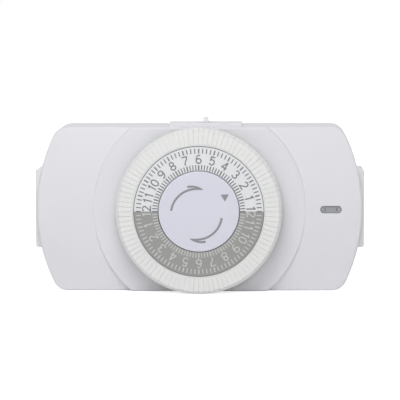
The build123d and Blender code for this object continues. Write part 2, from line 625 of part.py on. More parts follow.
def right_outlet_face():
    middle = PAD_MIDDLE_Z
    flange_front = PAD_REACH - PAD_THICKNESS
    flange_back = flange_front - FLANGE_THICKNESS
    pad = block(flange_front, PAD_REACH, -PAD_HEIGHT / 2, PAD_HEIGHT / 2,
                middle - PAD_DEPTH / 2, middle + PAD_DEPTH / 2)
    pad = fillet([e for e in pad.edges() if e.center().X > PAD_REACH - 0.01], PAD_EDGE_RADIUS)
    pad += block(flange_back, flange_front,
                 -PAD_HEIGHT / 2 - FLANGE_MARGIN_Y, PAD_HEIGHT / 2 + FLANGE_MARGIN_Y,
                 middle - PAD_DEPTH / 2 - FLANGE_MARGIN_Z, middle + PAD_DEPTH / 2 + FLANGE_MARGIN_Z)
    pad += block(BLOCK_BACK, flange_back, -BLOCK_HALF_HEIGHT, BLOCK_HALF_HEIGHT,
                 middle - BLOCK_HALF_DEPTH, middle + BLOCK_HALF_DEPTH)
    # cradle for the indicator lamp
    block_front = middle + BLOCK_HALF_DEPTH
    for side in (-1, 1):
        x = LAMP_X + side * CRADLE_SPACING / 2
        pad += block(x - CRADLE_THICKNESS / 2, x + CRADLE_THICKNESS / 2,
                     LENS_Y - CRADLE_HALF_WIDTH, LENS_Y + CRADLE_HALF_WIDTH, block_front - 1, LAMP_Z)
    pad -= rod_along_x(LENS_Y, LAMP_Z, BLOCK_BACK, flange_back, LAMP_RADIUS + SEAT_CLEARANCE)
    # pockets for the contacts, then the blade slots and the ground hole
    leaf_half = LEAF_GAP / 2 + LEAF_THICKNESS + POCKET_CLEARANCE
    leaf_height = LEAF_HALF_HEIGHT + POCKET_CLEARANCE
    for side in (-1, 1):
        pad -= contact_block_pocket(BLADE_LINE_Y, middle + side * SLOT_SPACING / 2,
                                    leaf_height, leaf_half)
    ground_half = GROUND_CONTACT_GAP / 2 + LEAF_THICKNESS + POCKET_CLEARANCE
    pad -= contact_block_pocket(GROUND_LINE_Y, middle, ground_half, ground_half)
    for side, height in ((1, NEUTRAL_SLOT_HEIGHT), (-1, HOT_SLOT_HEIGHT)):
        z = middle + side * SLOT_SPACING / 2
        pad -= block(PAD_REACH - 2 * FACE_THICKNESS, PAD_REACH + 1,
                     BLADE_LINE_Y - height / 2, BLADE_LINE_Y + height / 2,
                     z - SLOT_WIDTH / 2, z + SLOT_WIDTH / 2)
    pad -= ground_hole(PAD_REACH - 2 * FACE_THICKNESS, PAD_REACH + 1)
    return pad


def left_outlet_face():
    return turned_end_for_end(right_outlet_face())


# ---- Bus strips ----

def right_leaves(riser_x, z):
    """The two spring leaves that grip a blade, standing on a riser at the right end."""
    leaves = []
    for side in (-1, 1):
        near = z + side * LEAF_GAP / 2
        leaves.append(block(riser_x, CONTACT_TIP, BLADE_LINE_Y - LEAF_HALF_HEIGHT,
                            BLADE_LINE_Y + LEAF_HALF_HEIGHT, near, near + side * LEAF_THICKNESS))
    return leaves[0] + leaves[1]


def right_end(riser_x, strip_y, strip_z, z):
    """Riser, cross bar and leaves that join a strip to the blade contact at height z."""
    back, front = riser_x, riser_x + STRIP_THICKNESS
    half_width = LEAF_GAP / 2 + LEAF_THICKNESS
    y0, y1 = strip_y - STRIP_WIDTH / 2, strip_y + STRIP_WIDTH / 2
    end = block(back, front, y0, y1, strip_z, z + half_width)
    end += block(back, front, BLADE_LINE_Y - LEAF_HALF_HEIGHT, y1, z - half_width, z + half_width)
    return end + right_leaves(riser_x, z)


def blade_bus(strip_y, strip_z, right_riser, left_riser, right_z, left_z):
    """One stamped strip from outlet to outlet, with a blade contact at each end."""
    bus = block(-left_riser - STRIP_THICKNESS, right_riser + STRIP_THICKNESS,
                strip_y - STRIP_WIDTH / 2, strip_y + STRIP_WIDTH / 2,
                strip_z, strip_z + STRIP_THICKNESS)
    bus += right_end(right_riser, strip_y, strip_z, right_z)
    bus += mirror(right_end(left_riser, strip_y, strip_z, left_z), Plane.YZ)
    return bus


def near_slot_z():
    return PAD_MIDDLE_Z - SLOT_SPACING / 2


def far_slot_z():
    return PAD_MIDDLE_Z + SLOT_SPACING / 2


def neutral_bus():
    bus = blade_bus(NEUTRAL_STRIP_Y, NEUTRAL_STRIP_Z, RISER_X, RISER_X, far_slot_z(), near_slot_z())
    # tab down to the tail of the neutral blade
    x = -SLOT_SPACING / 2
    bus += block(x - STRIP_WIDTH / 2, x + STRIP_WIDTH / 2, PLUG_LINE_Y - BLADE_HEIGHT / 2,
                 NEUTRAL_STRIP_Y, NEUTRAL_STRIP_Z, NEUTRAL_STRIP_Z + STRIP_THICKNESS)
    return bus


def hot_bus():
    return blade_bus(HOT_STRIP_Y, HOT_STRIP_Z, HOT_RISER_X, HOT_RISER_X, near_slot_z(), far_slot_z())


def ground_bus():
    strip = block(-RISER_X - STRIP_THICKNESS, RISER_X + STRIP_THICKNESS,
                  GROUND_STRIP_Y - STRIP_WIDTH / 2, GROUND_STRIP_Y + STRIP_WIDTH / 2,
                  GROUND_STRIP_Z, GROUND_STRIP_Z + STRIP_THICKNESS)
    half = GROUND_CONTACT_GAP / 2
    outer = half + LEAF_THICKNESS
    end = block(RISER_X, RISER_X + STRIP_THICKNESS, GROUND_STRIP_Y - STRIP_WIDTH / 2,
                GROUND_STRIP_Y + STRIP_WIDTH / 2, GROUND_STRIP_Z, PAD_MIDDLE_Z + outer)
    floor_y = GROUND_LINE_Y - half
    end += block(RISER_X, CONTACT_TIP, floor_y - LEAF_THICKNESS, floor_y,
                 PAD_MIDDLE_Z - outer, PAD_MIDDLE_Z + outer)
    for side in (-1, 1):
        near = PAD_MIDDLE_Z + side * half
        end += block(RISER_X, CONTACT_TIP, floor_y - LEAF_THICKNESS, GROUND_LINE_Y + half,
                     near, near + side * LEAF_THICKNESS)
    return strip + end + mirror(end, Plane.YZ)


# ---- Gears ----

def involute(angle):
    return math.tan(angle) - angle


def tooth_half_angle(teeth, radius, thinning):
    """Half the angle that a tooth fills at a radius, with true involute flanks."""
    pitch_radius = MODULE * teeth / 2
    pressure = math.radians(PRESSURE_ANGLE)
    base_radius = pitch_radius * math.cos(pressure)
    at_radius = math.acos(min(1.0, base_radius / radius))
    at_pitch = math.pi / (2 * teeth) - thinning / (2 * pitch_radius)
    return at_pitch + involute(pressure) - involute(at_radius)


def gear_outline(teeth, below, above, thinning, turn, steps):
    """Points round a gear whose teeth reach the given modules below and above the pitch circle."""
    pitch_radius = MODULE * teeth / 2
    root, tip = pitch_radius - below * MODULE, pitch_radius + above * MODULE
    base_radius = pitch_radius * math.cos(math.radians(PRESSURE_ANGLE))
    start = max(root, base_radius)
    radii = [start + (tip - start) * i / steps for i in range(steps + 1)]
    if root < base_radius:
        radii.insert(0, root)
    points = []
    for tooth in range(teeth):
        middle = math.radians(turn) + 2 * math.pi * tooth / teeth
        for radius in radii:
            half = tooth_half_angle(teeth, max(radius, start), thinning)
            points.append(polar(radius, middle - half))
        for radius in reversed(radii):
            half = tooth_half_angle(teeth, max(radius, start), thinning)
            points.append(polar(radius, middle + half))
    return points


def outer_gear(teeth, turn, z0, z1):
    """A gear with outward teeth, one tooth centred on the given angle."""
    return prism(gear_outline(teeth, DEDENDUM, ADDENDUM, TOOTH_THINNING, turn, 3), z0, z1)


def dial_gear_ring():
    """The gear inside the dial, one tooth space centred on the drive pinion."""
    z0, z1 = WEB_BACK - GEAR_RING_HEIGHT, WEB_BACK
    spaces = gear_outline(RING_TEETH, ADDENDUM, DEDENDUM, -TOOTH_THINNING, 180, 2)
    return rod(0, 0, z0, z1, RIM_INNER_RADIUS - SEAT_CLEARANCE) - prism(spaces, z0 - 1, z1 + 1)


def drive_pinion():
    z1 = WEB_BACK - DRIVE_PINION_GAP
    pinion = outer_gear(PINION_TEETH, 180, z1 - DRIVE_PINION_HEIGHT, z1)
    pinion += rod(0, 0, PLATE_BACK + AXIAL_PLAY, z1, SHAFT_RADIUS)
    pinion += rod(0, 0, COLLAR_BACK, COLLAR_BACK + SHAFT_COLLAR_HEIGHT, SHAFT_COLLAR_RADIUS)
    return Pos(DRIVE_X, 0, 0) * pinion


def clutch_wheel():
    z0, z1 = CLUTCH_BACK, CLUTCH_BACK + CLUTCH_WHEEL_WIDTH
    wheel = outer_gear(CLUTCH_TEETH, -90, z0, z1)
    wheel -= rod(0, 0, z0 - 1, z1 + 1, SHAFT_RADIUS + RUNNING_CLEARANCE)
    for hole in range(CLUTCH_HOLES):
        x, y = polar(CLUTCH_HOLE_CIRCLE, 2 * math.pi * hole / CLUTCH_HOLES)
        wheel -= rod(x, y, z0 - 1, z1 + 1, CLUTCH_HOLE_RADIUS)
    return Pos(DRIVE_X, 0, 0) * wheel


def clutch_spring():
    """The spring washer that presses the clutch wheel from the collar of the shaft."""
    z0 = COLLAR_BACK - AXIAL_PLAY - CLUTCH_SPRING_THICKNESS
    return ring(DRIVE_X, 0, z0, z0 + CLUTCH_SPRING_THICKNESS, CLUTCH_SPRING_RADIUS,
                SHAFT_RADIUS + RUNNING_CLEARANCE)


def motor_pinion():
    half_pitch = 180.0 / PINION_TEETH
    pinion = outer_gear(PINION_TEETH, 90 + half_pitch, CLUTCH_BACK, CLUTCH_BACK + CLUTCH_WHEEL_WIDTH)
    shaft_end = PLATE_BACK - MOTOR_COVER_THICKNESS - MOTOR_BEARING_HEIGHT
    pinion += rod(0, 0, shaft_end, CLUTCH_BACK + CLUTCH_WHEEL_WIDTH, MOTOR_SHAFT_RADIUS)
    return Pos(DRIVE_X, MOTOR_SHAFT_Y, 0) * pinion


# ---- Gear plate and motor ----

def gear_plate():
    width = PLATE_RIGHT - PLATE_LEFT
    shape = RectangleRounded(width, 2 * PLATE_HALF_HEIGHT, PLATE_CORNER_RADIUS)
    plate = Pos((PLATE_LEFT + PLATE_RIGHT) / 2, 0, PLATE_BACK) * extrude(shape, PLATE_THICKNESS)
    # ears that carry the lever pin
    ear_inner = LEVER_HUB_HALF_LENGTH + SLIDE_CLEARANCE
    for side in (-1, 1):
        near = TRIP_Y + side * ear_inner
        plate += block(LEVER_PIVOT_X - EAR_HALF_WIDTH, LEVER_PIVOT_X + EAR_HALF_WIDTH,
                       near, near + side * EAR_THICKNESS, PLATE_BACK, LEVER_PIVOT_Z)
        plate += rod_along_y(LEVER_PIVOT_X, LEVER_PIVOT_Z, *sorted((near, near + side * EAR_THICKNESS)),
                             EAR_HALF_WIDTH)
    ear_reach = ear_inner + EAR_THICKNESS + 1
    plate -= rod_along_y(LEVER_PIVOT_X, LEVER_PIVOT_Z, TRIP_Y - ear_reach, TRIP_Y + ear_reach,
                         LEVER_PIN_RADIUS + SEAT_CLEARANCE)
    # window below the lever, and the shaft holes
    half_width = LEVER_HALF_WIDTH + SLIDE_CLEARANCE
    plate -= block(NOSE_RADIUS - 2 * NOSE_THICKNESS, MICROSWITCH_X + 2 * PLUNGER_RADIUS,
                   TRIP_Y - half_width, TRIP_Y + half_width, PLATE_BACK - 1, PLATE_FRONT + 1)
    plate -= rod(DRIVE_X, 0, PLATE_BACK - 1, PLATE_FRONT + 1, SHAFT_RADIUS + RUNNING_CLEARANCE)
    plate -= rod(DRIVE_X, MOTOR_SHAFT_Y, PLATE_BACK - 1, PLATE_FRONT + 1,
                 MOTOR_SHAFT_RADIUS + SCREW_PASSAGE)
    plate -= motor_pegs(MOTOR_PEG_RADIUS + SEAT_CLEARANCE, PLATE_FRONT + 1)
    for x, y in plate_screw_places():
        plate -= rod(x, y, PLATE_BACK - 1, PLATE_FRONT + 1, PLATE_SCREW_RADIUS + SCREW_PASSAGE)
    return plate


def plate_screws():
    screws = []
    for x, y in plate_screw_places():
        screw = rod(x, y, PLATE_BACK - PLATE_HEAD_HEIGHT, PLATE_BACK, PLATE_HEAD_RADIUS)
        screw += rod(x, y, PLATE_BACK, PLATE_BACK + PLATE_SCREW_LENGTH - SCREW_END_GAP,
                     PLATE_SCREW_RADIUS)
        screw -= cross_recess(x, y, PLATE_BACK - PLATE_HEAD_HEIGHT)
        screws.append(screw)
    return Compound([s for screw in screws for s in screw.solids()])


def motor_pegs(radius, z1):
    """The two pegs that hold the motor to the gear plate."""
    reach = MOTOR_RADIUS - 2 * MOTOR_PEG_RADIUS - MOTOR_WALL
    z0 = PLATE_BACK - MOTOR_COVER_THICKNESS / 2
    return (rod(MOTOR_X + reach, MOTOR_Y, z0, z1, radius)
            + rod(MOTOR_X, MOTOR_Y + reach, z0, z1, radius))


def motor_case():
    """The cup of the motor, open towards the gear plate."""
    rim = PLATE_BACK - MOTOR_COVER_THICKNESS
    cup = rod(MOTOR_X, MOTOR_Y, PLATE_BACK - MOTOR_HEIGHT, rim, MOTOR_RADIUS)
    back = [e for e in cup.edges() if e.center().Z < rim - 1 and e.geom_type == GeomType.CIRCLE]
    cup = fillet(back, MOTOR_WALL)
    return cup - rod(MOTOR_X, MOTOR_Y, PLATE_BACK - MOTOR_HEIGHT + MOTOR_WALL, rim + 1,
                     MOTOR_RADIUS - MOTOR_WALL)


def motor_cover():
    """The lid of the motor, with the bearing of its output shaft."""
    z0 = PLATE_BACK - MOTOR_COVER_THICKNESS
    cover = rod(MOTOR_X, MOTOR_Y, z0, PLATE_BACK, MOTOR_RADIUS)
    cover += rod(DRIVE_X, MOTOR_SHAFT_Y, z0 - MOTOR_BEARING_HEIGHT, z0, MOTOR_BEARING_RADIUS)
    cover += motor_pegs(MOTOR_PEG_RADIUS, PLATE_FRONT)
    return cover - rod(DRIVE_X, MOTOR_SHAFT_Y, z0 - MOTOR_BEARING_HEIGHT - 1, PLATE_BACK + 1,
                       MOTOR_SHAFT_RADIUS + RUNNING_CLEARANCE)


def motor_coil():
    z0 = PLATE_BACK - MOTOR_HEIGHT + MOTOR_WALL
    return ring(MOTOR_X, MOTOR_Y, z0, z0 + COIL_HEIGHT, COIL_RADIUS, COIL_BORE)


# ---- Dial ----

def rim_outline():
    """The outline of the dial wheel, with a rib between every two pins."""
    slot_half = math.radians(PIN_HALF_ANGLE + PIN_SIDE_CLEARANCE)
    half_pitch = math.radians(PIN_PITCH / 2)
    floor_radius = (PIN_INNER_RADIUS - SEAT_CLEARANCE) / math.cos(slot_half)
    points = []
    for pin in range(PIN_COUNT):
        rib = math.radians(PIN_PITCH) * pin
        rib_half = half_pitch - slot_half
        points += [polar(floor_radius, rib - rib_half), polar(RIB_RADIUS, rib - rib_half),
                   polar(RIB_RADIUS, rib + rib_half), polar(floor_radius, rib + rib_half)]
    return points


def dial_wheel():
    rim_front = DIAL_FRONT - RIB_DROP
    hook_top = PIN_BACK + PIN_HOOK_HEIGHT + SLIDE_CLEARANCE
    hook_reach = PIN_INNER_RADIUS - PIN_HOOK_DEPTH - SLIDE_CLEARANCE
    wheel = prism(rim_outline(), RIM_BACK, rim_front)
    wheel -= rod(0, 0, RIM_BACK - 1, rim_front + 1, RIM_INNER_RADIUS)
    wheel -= rod(0, 0, RIM_BACK - 1, hook_top, PIN_INNER_RADIUS)
    wheel -= rod(0, 0, NUMBER_RING_BACK, rim_front + 1, NUMBER_RING_RADIUS + SLIDE_CLEARANCE)
    wheel += ring(0, 0, WEB_BACK - GEAR_RING_HEIGHT, hook_top + 1, hook_reach, RIM_INNER_RADIUS)
    # web, wall under the inner edge of the number ring, and hub
    wheel += ring(0, 0, WEB_BACK, WEB_BACK + WEB_THICKNESS, hook_reach, HUB_RADIUS - 1)
    wheel += ring(0, 0, WEB_BACK, NUMBER_RING_BACK, NUMBER_RING_BORE + INNER_WALL_THICKNESS,
                  NUMBER_RING_BORE)
    wheel += ring(0, 0, HUB_BACK, HUB_FRONT, HUB_RADIUS, POST_RADIUS + RUNNING_CLEARANCE)
    return wheel


def setting_pin():
    """One pin on the X axis, pulled out: a wedge with a hook at its inner back corner."""
    hook_radius = PIN_INNER_RADIUS - PIN_HOOK_DEPTH
    side = [(hook_radius, PIN_BACK), (DIAL_RADIUS - PIN_HEEL_CHAMFER, PIN_BACK),
            (DIAL_RADIUS, PIN_BACK + PIN_HEEL_CHAMFER), (DIAL_RADIUS, DIAL_FRONT - PIN_CHAMFER),
            (DIAL_RADIUS - PIN_CHAMFER, DIAL_FRONT), (PIN_INNER_RADIUS, DIAL_FRONT),
            (PIN_INNER_RADIUS, PIN_BACK + PIN_HOOK_HEIGHT), (hook_radius, PIN_BACK + PIN_HOOK_HEIGHT)]
    profile = make_face(Polyline(*[(r, 0, z) for r, z in side], close=True))
    half = math.radians(PIN_HALF_ANGLE)
    pin = extrude(profile, amount=2 * DIAL_RADIUS * math.sin(half), dir=(0, 1, 0), both=True)
    wedge = prism([(0, 0), polar(2 * DIAL_RADIUS, -half), polar(2 * DIAL_RADIUS, half)],
                  PIN_BACK - 1, DIAL_FRONT + 1)
    return pin & wedge


def hour_pins(hour):
    """The pins of one hour."""
    pin = setting_pin()
    solids = []
    for quarter in range(PINS_PER_HOUR):
        angle = TRIP_ANGLE + PIN_PITCH * (hour * PINS_PER_HOUR + quarter)
        solids += (Rot(0, 0, angle) * pin).solids()
    return Compound(solids)


def number_ring():
    return ring(0, 0, NUMBER_RING_BACK, NUMBER_RING_FACE, NUMBER_RING_RADIUS, NUMBER_RING_BORE)


def centre_cap():
    cap = rod(0, 0, CAP_BACK, CAP_FACE, CAP_RADIUS)
    cap = fillet([e for e in cap.edges() if e.center().Z > CAP_FACE - 0.01], CAP_EDGE_RADIUS)
    return cap + rod(0, 0, CAP_BACK - CAP_STEM_LENGTH, CAP_BACK + CAP_THICKNESS / 2, CAP_STEM_RADIUS)


def dial_retainer():
    return ring(0, 0, POST_STEP, POST_STEP + RETAINER_THICKNESS, RETAINER_RADIUS,
                POST_NECK_RADIUS + SEAT_CLEARANCE)


# ---- Trip lever and microswitch ----

def trip_lever():
    half = LEVER_THICKNESS / 2
    nose_back = NOSE_RADIUS - NOSE_THICKNESS / 2
    nose_front = NOSE_RADIUS + NOSE_THICKNESS / 2
    lever = block(nose_back, LEVER_PIVOT_X, TRIP_Y - LEVER_HALF_WIDTH, TRIP_Y + LEVER_HALF_WIDTH,
                  LEVER_PIVOT_Z - half, LEVER_PIVOT_Z + half)
    nose = block(nose_back, nose_front, TRIP_Y - NOSE_HALF_WIDTH, TRIP_Y + NOSE_HALF_WIDTH,
                 LEVER_PIVOT_Z, NOSE_TIP)
    tip = [e for e in nose.edges() if e.center().Z > NOSE_TIP - 0.01 and abs(e.center().Y - TRIP_Y) < 0.01]
    lever += fillet(tip, NOSE_THICKNESS / 4)
    lever += rod_along_y(LEVER_PIVOT_X, LEVER_PIVOT_Z, TRIP_Y - LEVER_HUB_HALF_LENGTH,
                         TRIP_Y + LEVER_HUB_HALF_LENGTH, LEVER_HUB_RADIUS)
    return lever - rod_along_y(LEVER_PIVOT_X, LEVER_PIVOT_Z, TRIP_Y - 2 * LEVER_HUB_HALF_LENGTH,
                               TRIP_Y + 2 * LEVER_HUB_HALF_LENGTH, LEVER_PIN_RADIUS + RUNNING_CLEARANCE)


def lever_pin():
    reach = LEVER_HUB_HALF_LENGTH + SLIDE_CLEARANCE + EAR_THICKNESS
    return rod_along_y(LEVER_PIVOT_X, LEVER_PIVOT_Z, TRIP_Y - reach, TRIP_Y + reach, LEVER_PIN_RADIUS)


def plunger_top():
    return LEVER_PIVOT_Z - LEVER_THICKNESS / 2 - PLUNGER_GAP


def microswitch_case():
    half_width, half_length = MICROSWITCH_WIDTH / 2, MICROSWITCH_LENGTH / 2
    case = block(MICROSWITCH_X - half_width, MICROSWITCH_X + half_width, TRIP_Y - half_length,
                 TRIP_Y + half_length, PLATE_BACK - MICROSWITCH_HEIGHT, PLATE_BACK)
    pocket_floor = plunger_top() - PLUNGER_LENGTH - PLUNGER_TRAVEL - PLUNGER_GAP
    return case - rod(MICROSWITCH_X, TRIP_Y, pocket_floor, PLATE_BACK + 1,
                      PLUNGER_RADIUS + RUNNING_CLEARANCE)


def microswitch_plunger():
    top = plunger_top()
    plunger = rod(MICROSWITCH_X, TRIP_Y, top - PLUNGER_LENGTH, top, PLUNGER_RADIUS)
    return chamfer([e for e in plunger.edges() if e.center().Z > top - 0.01], PLUNGER_RADIUS / 3)


# ---- Override switch ----

def override_bezel():
    half_length, half_depth = BEZEL_LENGTH / 2, BEZEL_DEPTH / 2
    top = HALF_HEIGHT + BEZEL_RISE
    bezel = block(BEZEL_X - half_length, BEZEL_X + half_length, HALF_HEIGHT, top,
                  BEZEL_Z - half_depth, BEZEL_Z + half_depth)
    bezel = fillet([e for e in bezel.edges() if e.center().Y > HALF_HEIGHT + 0.01], BEZEL_EDGE_RADIUS)
    bezel -= knob_slot(HALF_HEIGHT - 1, top + 1)
    return bezel + bezel_pegs(BEZEL_PEG_RADIUS)


def override_knob():
    wall_under = HALF_HEIGHT - WALL
    bezel_top = HALF_HEIGHT + BEZEL_RISE
    slider_top = wall_under - SLIDE_CLEARANCE
    half_width = KNOB_WIDTH / 2
    nub = block(KNOB_X - half_width, KNOB_X + half_width, bezel_top + SLIDE_CLEARANCE,
                bezel_top + KNOB_HEIGHT, KNOB_Z - KNOB_DEPTH / 2, KNOB_Z + KNOB_DEPTH / 2)
    nub = fillet([e for e in nub.edges() if e.center().Y > bezel_top + KNOB_HEIGHT - 0.01], half_width / 2)
    knob = nub + block(KNOB_X - half_width, KNOB_X + half_width, slider_top - SLIDER_THICKNESS / 2,
                       bezel_top + KNOB_HEIGHT / 2,
                       KNOB_Z - KNOB_NECK_DEPTH / 2, KNOB_Z + KNOB_NECK_DEPTH / 2)
    return knob + block(KNOB_X - SLIDER_LENGTH / 2, KNOB_X + SLIDER_LENGTH / 2,
                        slider_top - SLIDER_THICKNESS, slider_top,
                        KNOB_Z - SLIDER_DEPTH / 2, KNOB_Z + SLIDER_DEPTH / 2)


def override_switch_case():
    """The switch body under the top wall, with the recess that the slider moves in."""
    top = HALF_HEIGHT - WALL
    half_length = SWITCH_LENGTH / 2
    case = block(SWITCH_X - half_length, SWITCH_X + half_length, SWITCH_BOTTOM, top,
                 KNOB_Z - SWITCH_DEPTH / 2, KNOB_Z + SWITCH_DEPTH / 2)
    recess_half = SLIDER_LENGTH / 2 + KNOB_TRAVEL + SLIDE_CLEARANCE
    recess_depth = SLIDER_DEPTH / 2 + SLIDE_CLEARANCE
    return case - block(KNOB_X - recess_half, KNOB_X + recess_half,
                        top - SLIDER_THICKNESS - 2 * SLIDE_CLEARANCE, top + 1,
                        KNOB_Z - recess_depth, KNOB_Z + recess_depth)


# ---- Indicator ----

def indicator_lens():
    flange_front = INNER_CREST - SEAT_CLEARANCE
    lens = lens_slot(0, flange_front - LENS_FLANGE_THICKNESS / 2, CROWN_CREST + LENS_RISE)
    return lens + lens_slot(LENS_FLANGE_MARGIN, flange_front - LENS_FLANGE_THICKNESS, flange_front)


def neon_lamp():
    half = LAMP_LENGTH / 2
    lamp = rod_along_x(LENS_Y, LAMP_Z, LAMP_X - half, LAMP_X + half, LAMP_RADIUS)
    return fillet([e for e in lamp.edges() if e.center().X > LAMP_X + half - 0.01], LAMP_RADIUS / 2)


def hot_bar_front():
    """Front of the hot strip's contact bar at the right outlet."""
    return near_slot_z() + LEAF_GAP / 2 + LEAF_THICKNESS


def resistor_back():
    return hot_bar_front() + RESISTOR_RISE


def neon_resistor():
    """The resistor, which stands on its leg over the hot strip."""
    body = rod(HOT_RISER_X + STRIP_THICKNESS / 2, RESISTOR_Y, resistor_back(),
               resistor_back() + RESISTOR_LENGTH, RESISTOR_RADIUS)
    return fillet([e for e in body.edges() if e.geom_type == GeomType.CIRCLE], RESISTOR_RADIUS / 4)


# ---- Leads ----

def wire(radius, *points):
    """A wire: straight runs joined by arcs."""
    path = FilletPolyline(*points, radius=LEAD_BEND)
    section = Plane(origin=path @ 0, z_dir=path % 0) * Circle(radius)
    return sweep(section, path=path)


def power_leads():
    """Insulated leads between the plug, the switches, the motor and the strips."""
    hot_x = SLOT_SPACING / 2
    blade_end = NEUTRAL_STRIP_Z
    motor_back = PLATE_BACK - MOTOR_HEIGHT - LEAD_RADIUS - POCKET_CLEARANCE
    switch_back = PLATE_BACK - MICROSWITCH_HEIGHT
    terminal = MICROSWITCH_LENGTH / 2 - TERMINAL_INSET
    common_y, made_y = TRIP_Y - terminal, TRIP_Y + terminal
    drop_z = switch_back - LEAD_DROP
    hot_front = HOT_STRIP_Z + STRIP_THICKNESS
    neutral_front = NEUTRAL_STRIP_Z + STRIP_THICKNESS
    turn_x = MOTOR_X + MOTOR_RADIUS + TURN_DISTANCE
    motor_top = MOTOR_Y + MOTOR_RADIUS
    motor_z = PLATE_BACK - MOTOR_LEAD_DEPTH
    neutral_lead_x, hot_lead_x = MOTOR_X - LEAD_SPREAD, MOTOR_X + LEAD_SPREAD
    past_motor = motor_top + LEAD_STANDOFF
    hot_end_y = PLUG_LINE_Y + MOTOR_LEAD_RISE
    return [
        # hot blade to the common terminal of the microswitch
        wire(LEAD_RADIUS, (hot_x, PLUG_LINE_Y, blade_end), (hot_x, PLUG_LINE_Y, motor_back),
             (turn_x, PLUG_LINE_Y, motor_back), (turn_x, common_y, motor_back),
             (MICROSWITCH_X, common_y, motor_back), (MICROSWITCH_X, common_y, switch_back)),
        # made terminal of the microswitch to the hot strip
        wire(LEAD_RADIUS, (MICROSWITCH_X, made_y, switch_back), (MICROSWITCH_X, made_y, drop_z),
             (MICROSWITCH_X, HOT_STRIP_Y, drop_z), (MICROSWITCH_X, HOT_STRIP_Y, hot_front)),
        # override switch to the hot strip
        wire(LEAD_RADIUS, (SWITCH_X, SWITCH_BOTTOM, KNOB_Z), (SWITCH_X, HOT_STRIP_Y, KNOB_Z),
             (SWITCH_X, HOT_STRIP_Y, hot_front)),
        # motor to the neutral strip and to the hot blade
        wire(LEAD_RADIUS, (neutral_lead_x, motor_top, motor_z),
             (neutral_lead_x, NEUTRAL_STRIP_Y, motor_z),
             (neutral_lead_x, NEUTRAL_STRIP_Y, neutral_front)),
        wire(LEAD_RADIUS, (hot_lead_x, motor_top, motor_z), (hot_lead_x, past_motor, motor_z),
             (hot_lead_x, past_motor, motor_back), (hot_x, past_motor, motor_back),
             (hot_x, hot_end_y, motor_back), (hot_x, hot_end_y, blade_end)),
    ]


def lamp_leads():
    """Bare legs of the lamp: one to the neutral strip, the other through the resistor to the hot strip."""
    lamp_end = LAMP_X - LAMP_LENGTH / 2
    neutral_x = RISER_X + STRIP_THICKNESS / 2
    hot_x = HOT_RISER_X + STRIP_THICKNESS / 2
    neutral_front = far_slot_z() + LEAF_GAP / 2 + LEAF_THICKNESS
    upper_y, lower_y = LENS_Y + LEG_SPACING / 2, LENS_Y - LEG_SPACING / 2
    return [
        wire(LEG_RADIUS, (lamp_end, upper_y, LAMP_Z), (neutral_x, upper_y, LAMP_Z),
             (neutral_x, BLADE_LINE_Y, LAMP_Z), (neutral_x, BLADE_LINE_Y, neutral_front)),
        wire(LEG_RADIUS, (lamp_end, lower_y, LAMP_Z), (hot_x, lower_y, LAMP_Z),
             (hot_x, RESISTOR_Y, LAMP_Z), (hot_x, RESISTOR_Y, resistor_back() + RESISTOR_LENGTH)),
        Pos(hot_x, RESISTOR_Y, hot_bar_front() + RESISTOR_RISE / 2) * Cylinder(LEG_RADIUS, RESISTOR_RISE),
    ]


def internal_leads():
    return Compound([s for lead in power_leads() + lamp_leads() for s in lead.solids()])


# ---- Write the pieces ----

def main():
    os.makedirs("parts", exist_ok=True)
    pieces = [front_cover, rear_cover, left_outlet_face, right_outlet_face, case_screws,
              plug_base, plug_blades, ground_pin, hot_bus, neutral_bus, ground_bus,
              gear_plate, plate_screws, motor_case, motor_cover, motor_coil, motor_pinion,
              clutch_wheel, clutch_spring, drive_pinion, dial_wheel, dial_gear_ring, number_ring,
              centre_cap, dial_retainer, trip_lever, lever_pin, microswitch_case,
              microswitch_plunger, override_bezel, override_knob, override_switch_case,
              indicator_lens, neon_lamp, neon_resistor, internal_leads]
    for piece in pieces:
        save(piece.__name__, piece())
    for hour in range(HOURS):
        save(f"hour_pins_{hour + 1:02d}", hour_pins(hour))


main()
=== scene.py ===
import math

import bmesh
import bpy
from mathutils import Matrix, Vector


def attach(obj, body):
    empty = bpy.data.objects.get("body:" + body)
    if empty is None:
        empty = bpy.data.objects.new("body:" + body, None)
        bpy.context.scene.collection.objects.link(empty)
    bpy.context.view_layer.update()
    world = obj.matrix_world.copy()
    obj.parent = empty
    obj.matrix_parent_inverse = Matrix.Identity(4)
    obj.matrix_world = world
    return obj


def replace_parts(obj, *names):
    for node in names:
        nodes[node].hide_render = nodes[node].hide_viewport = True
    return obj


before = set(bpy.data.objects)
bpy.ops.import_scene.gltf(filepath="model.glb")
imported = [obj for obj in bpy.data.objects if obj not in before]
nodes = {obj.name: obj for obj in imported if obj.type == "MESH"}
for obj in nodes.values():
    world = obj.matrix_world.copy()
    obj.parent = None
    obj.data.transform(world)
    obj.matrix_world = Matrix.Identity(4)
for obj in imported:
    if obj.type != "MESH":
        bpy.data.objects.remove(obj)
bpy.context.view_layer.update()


# ---- Rear cover ----
# The back half of the case is a tray of white ABS, injection moulded in one piece.
# The mould's fine spark-eroded grain leaves it satin, with a faint cloudiness in the white.

MM = 0.001
PLASTIC_CLOUD = 15.0                # mm across
SATIN_SWING = 0.05                  # how far the grain moves the roughness each way


def linear(code):
    """An sRGB hex colour as linear RGBA."""
    channels = [int(code[i:i + 2], 16) / 255 for i in (0, 2, 4)]
    return [c / 12.92 if c <= 0.04045 else ((c + 0.055) / 1.055) ** 2.4 for c in channels] + [1.0]


def add_node(owner, kind, settings, links):
    """A node with its settings, and with links from (node, output) to its sockets."""
    made = owner.node_tree.nodes.new("ShaderNode" + kind)
    for name, value in settings.items():
        if isinstance(name, str) and hasattr(made, name):
            setattr(made, name, value)
        else:
            made.inputs[name].default_value = value
    for name, (source, output) in links.items():
        owner.node_tree.links.new(source.outputs[output], made.inputs[name])
    return made


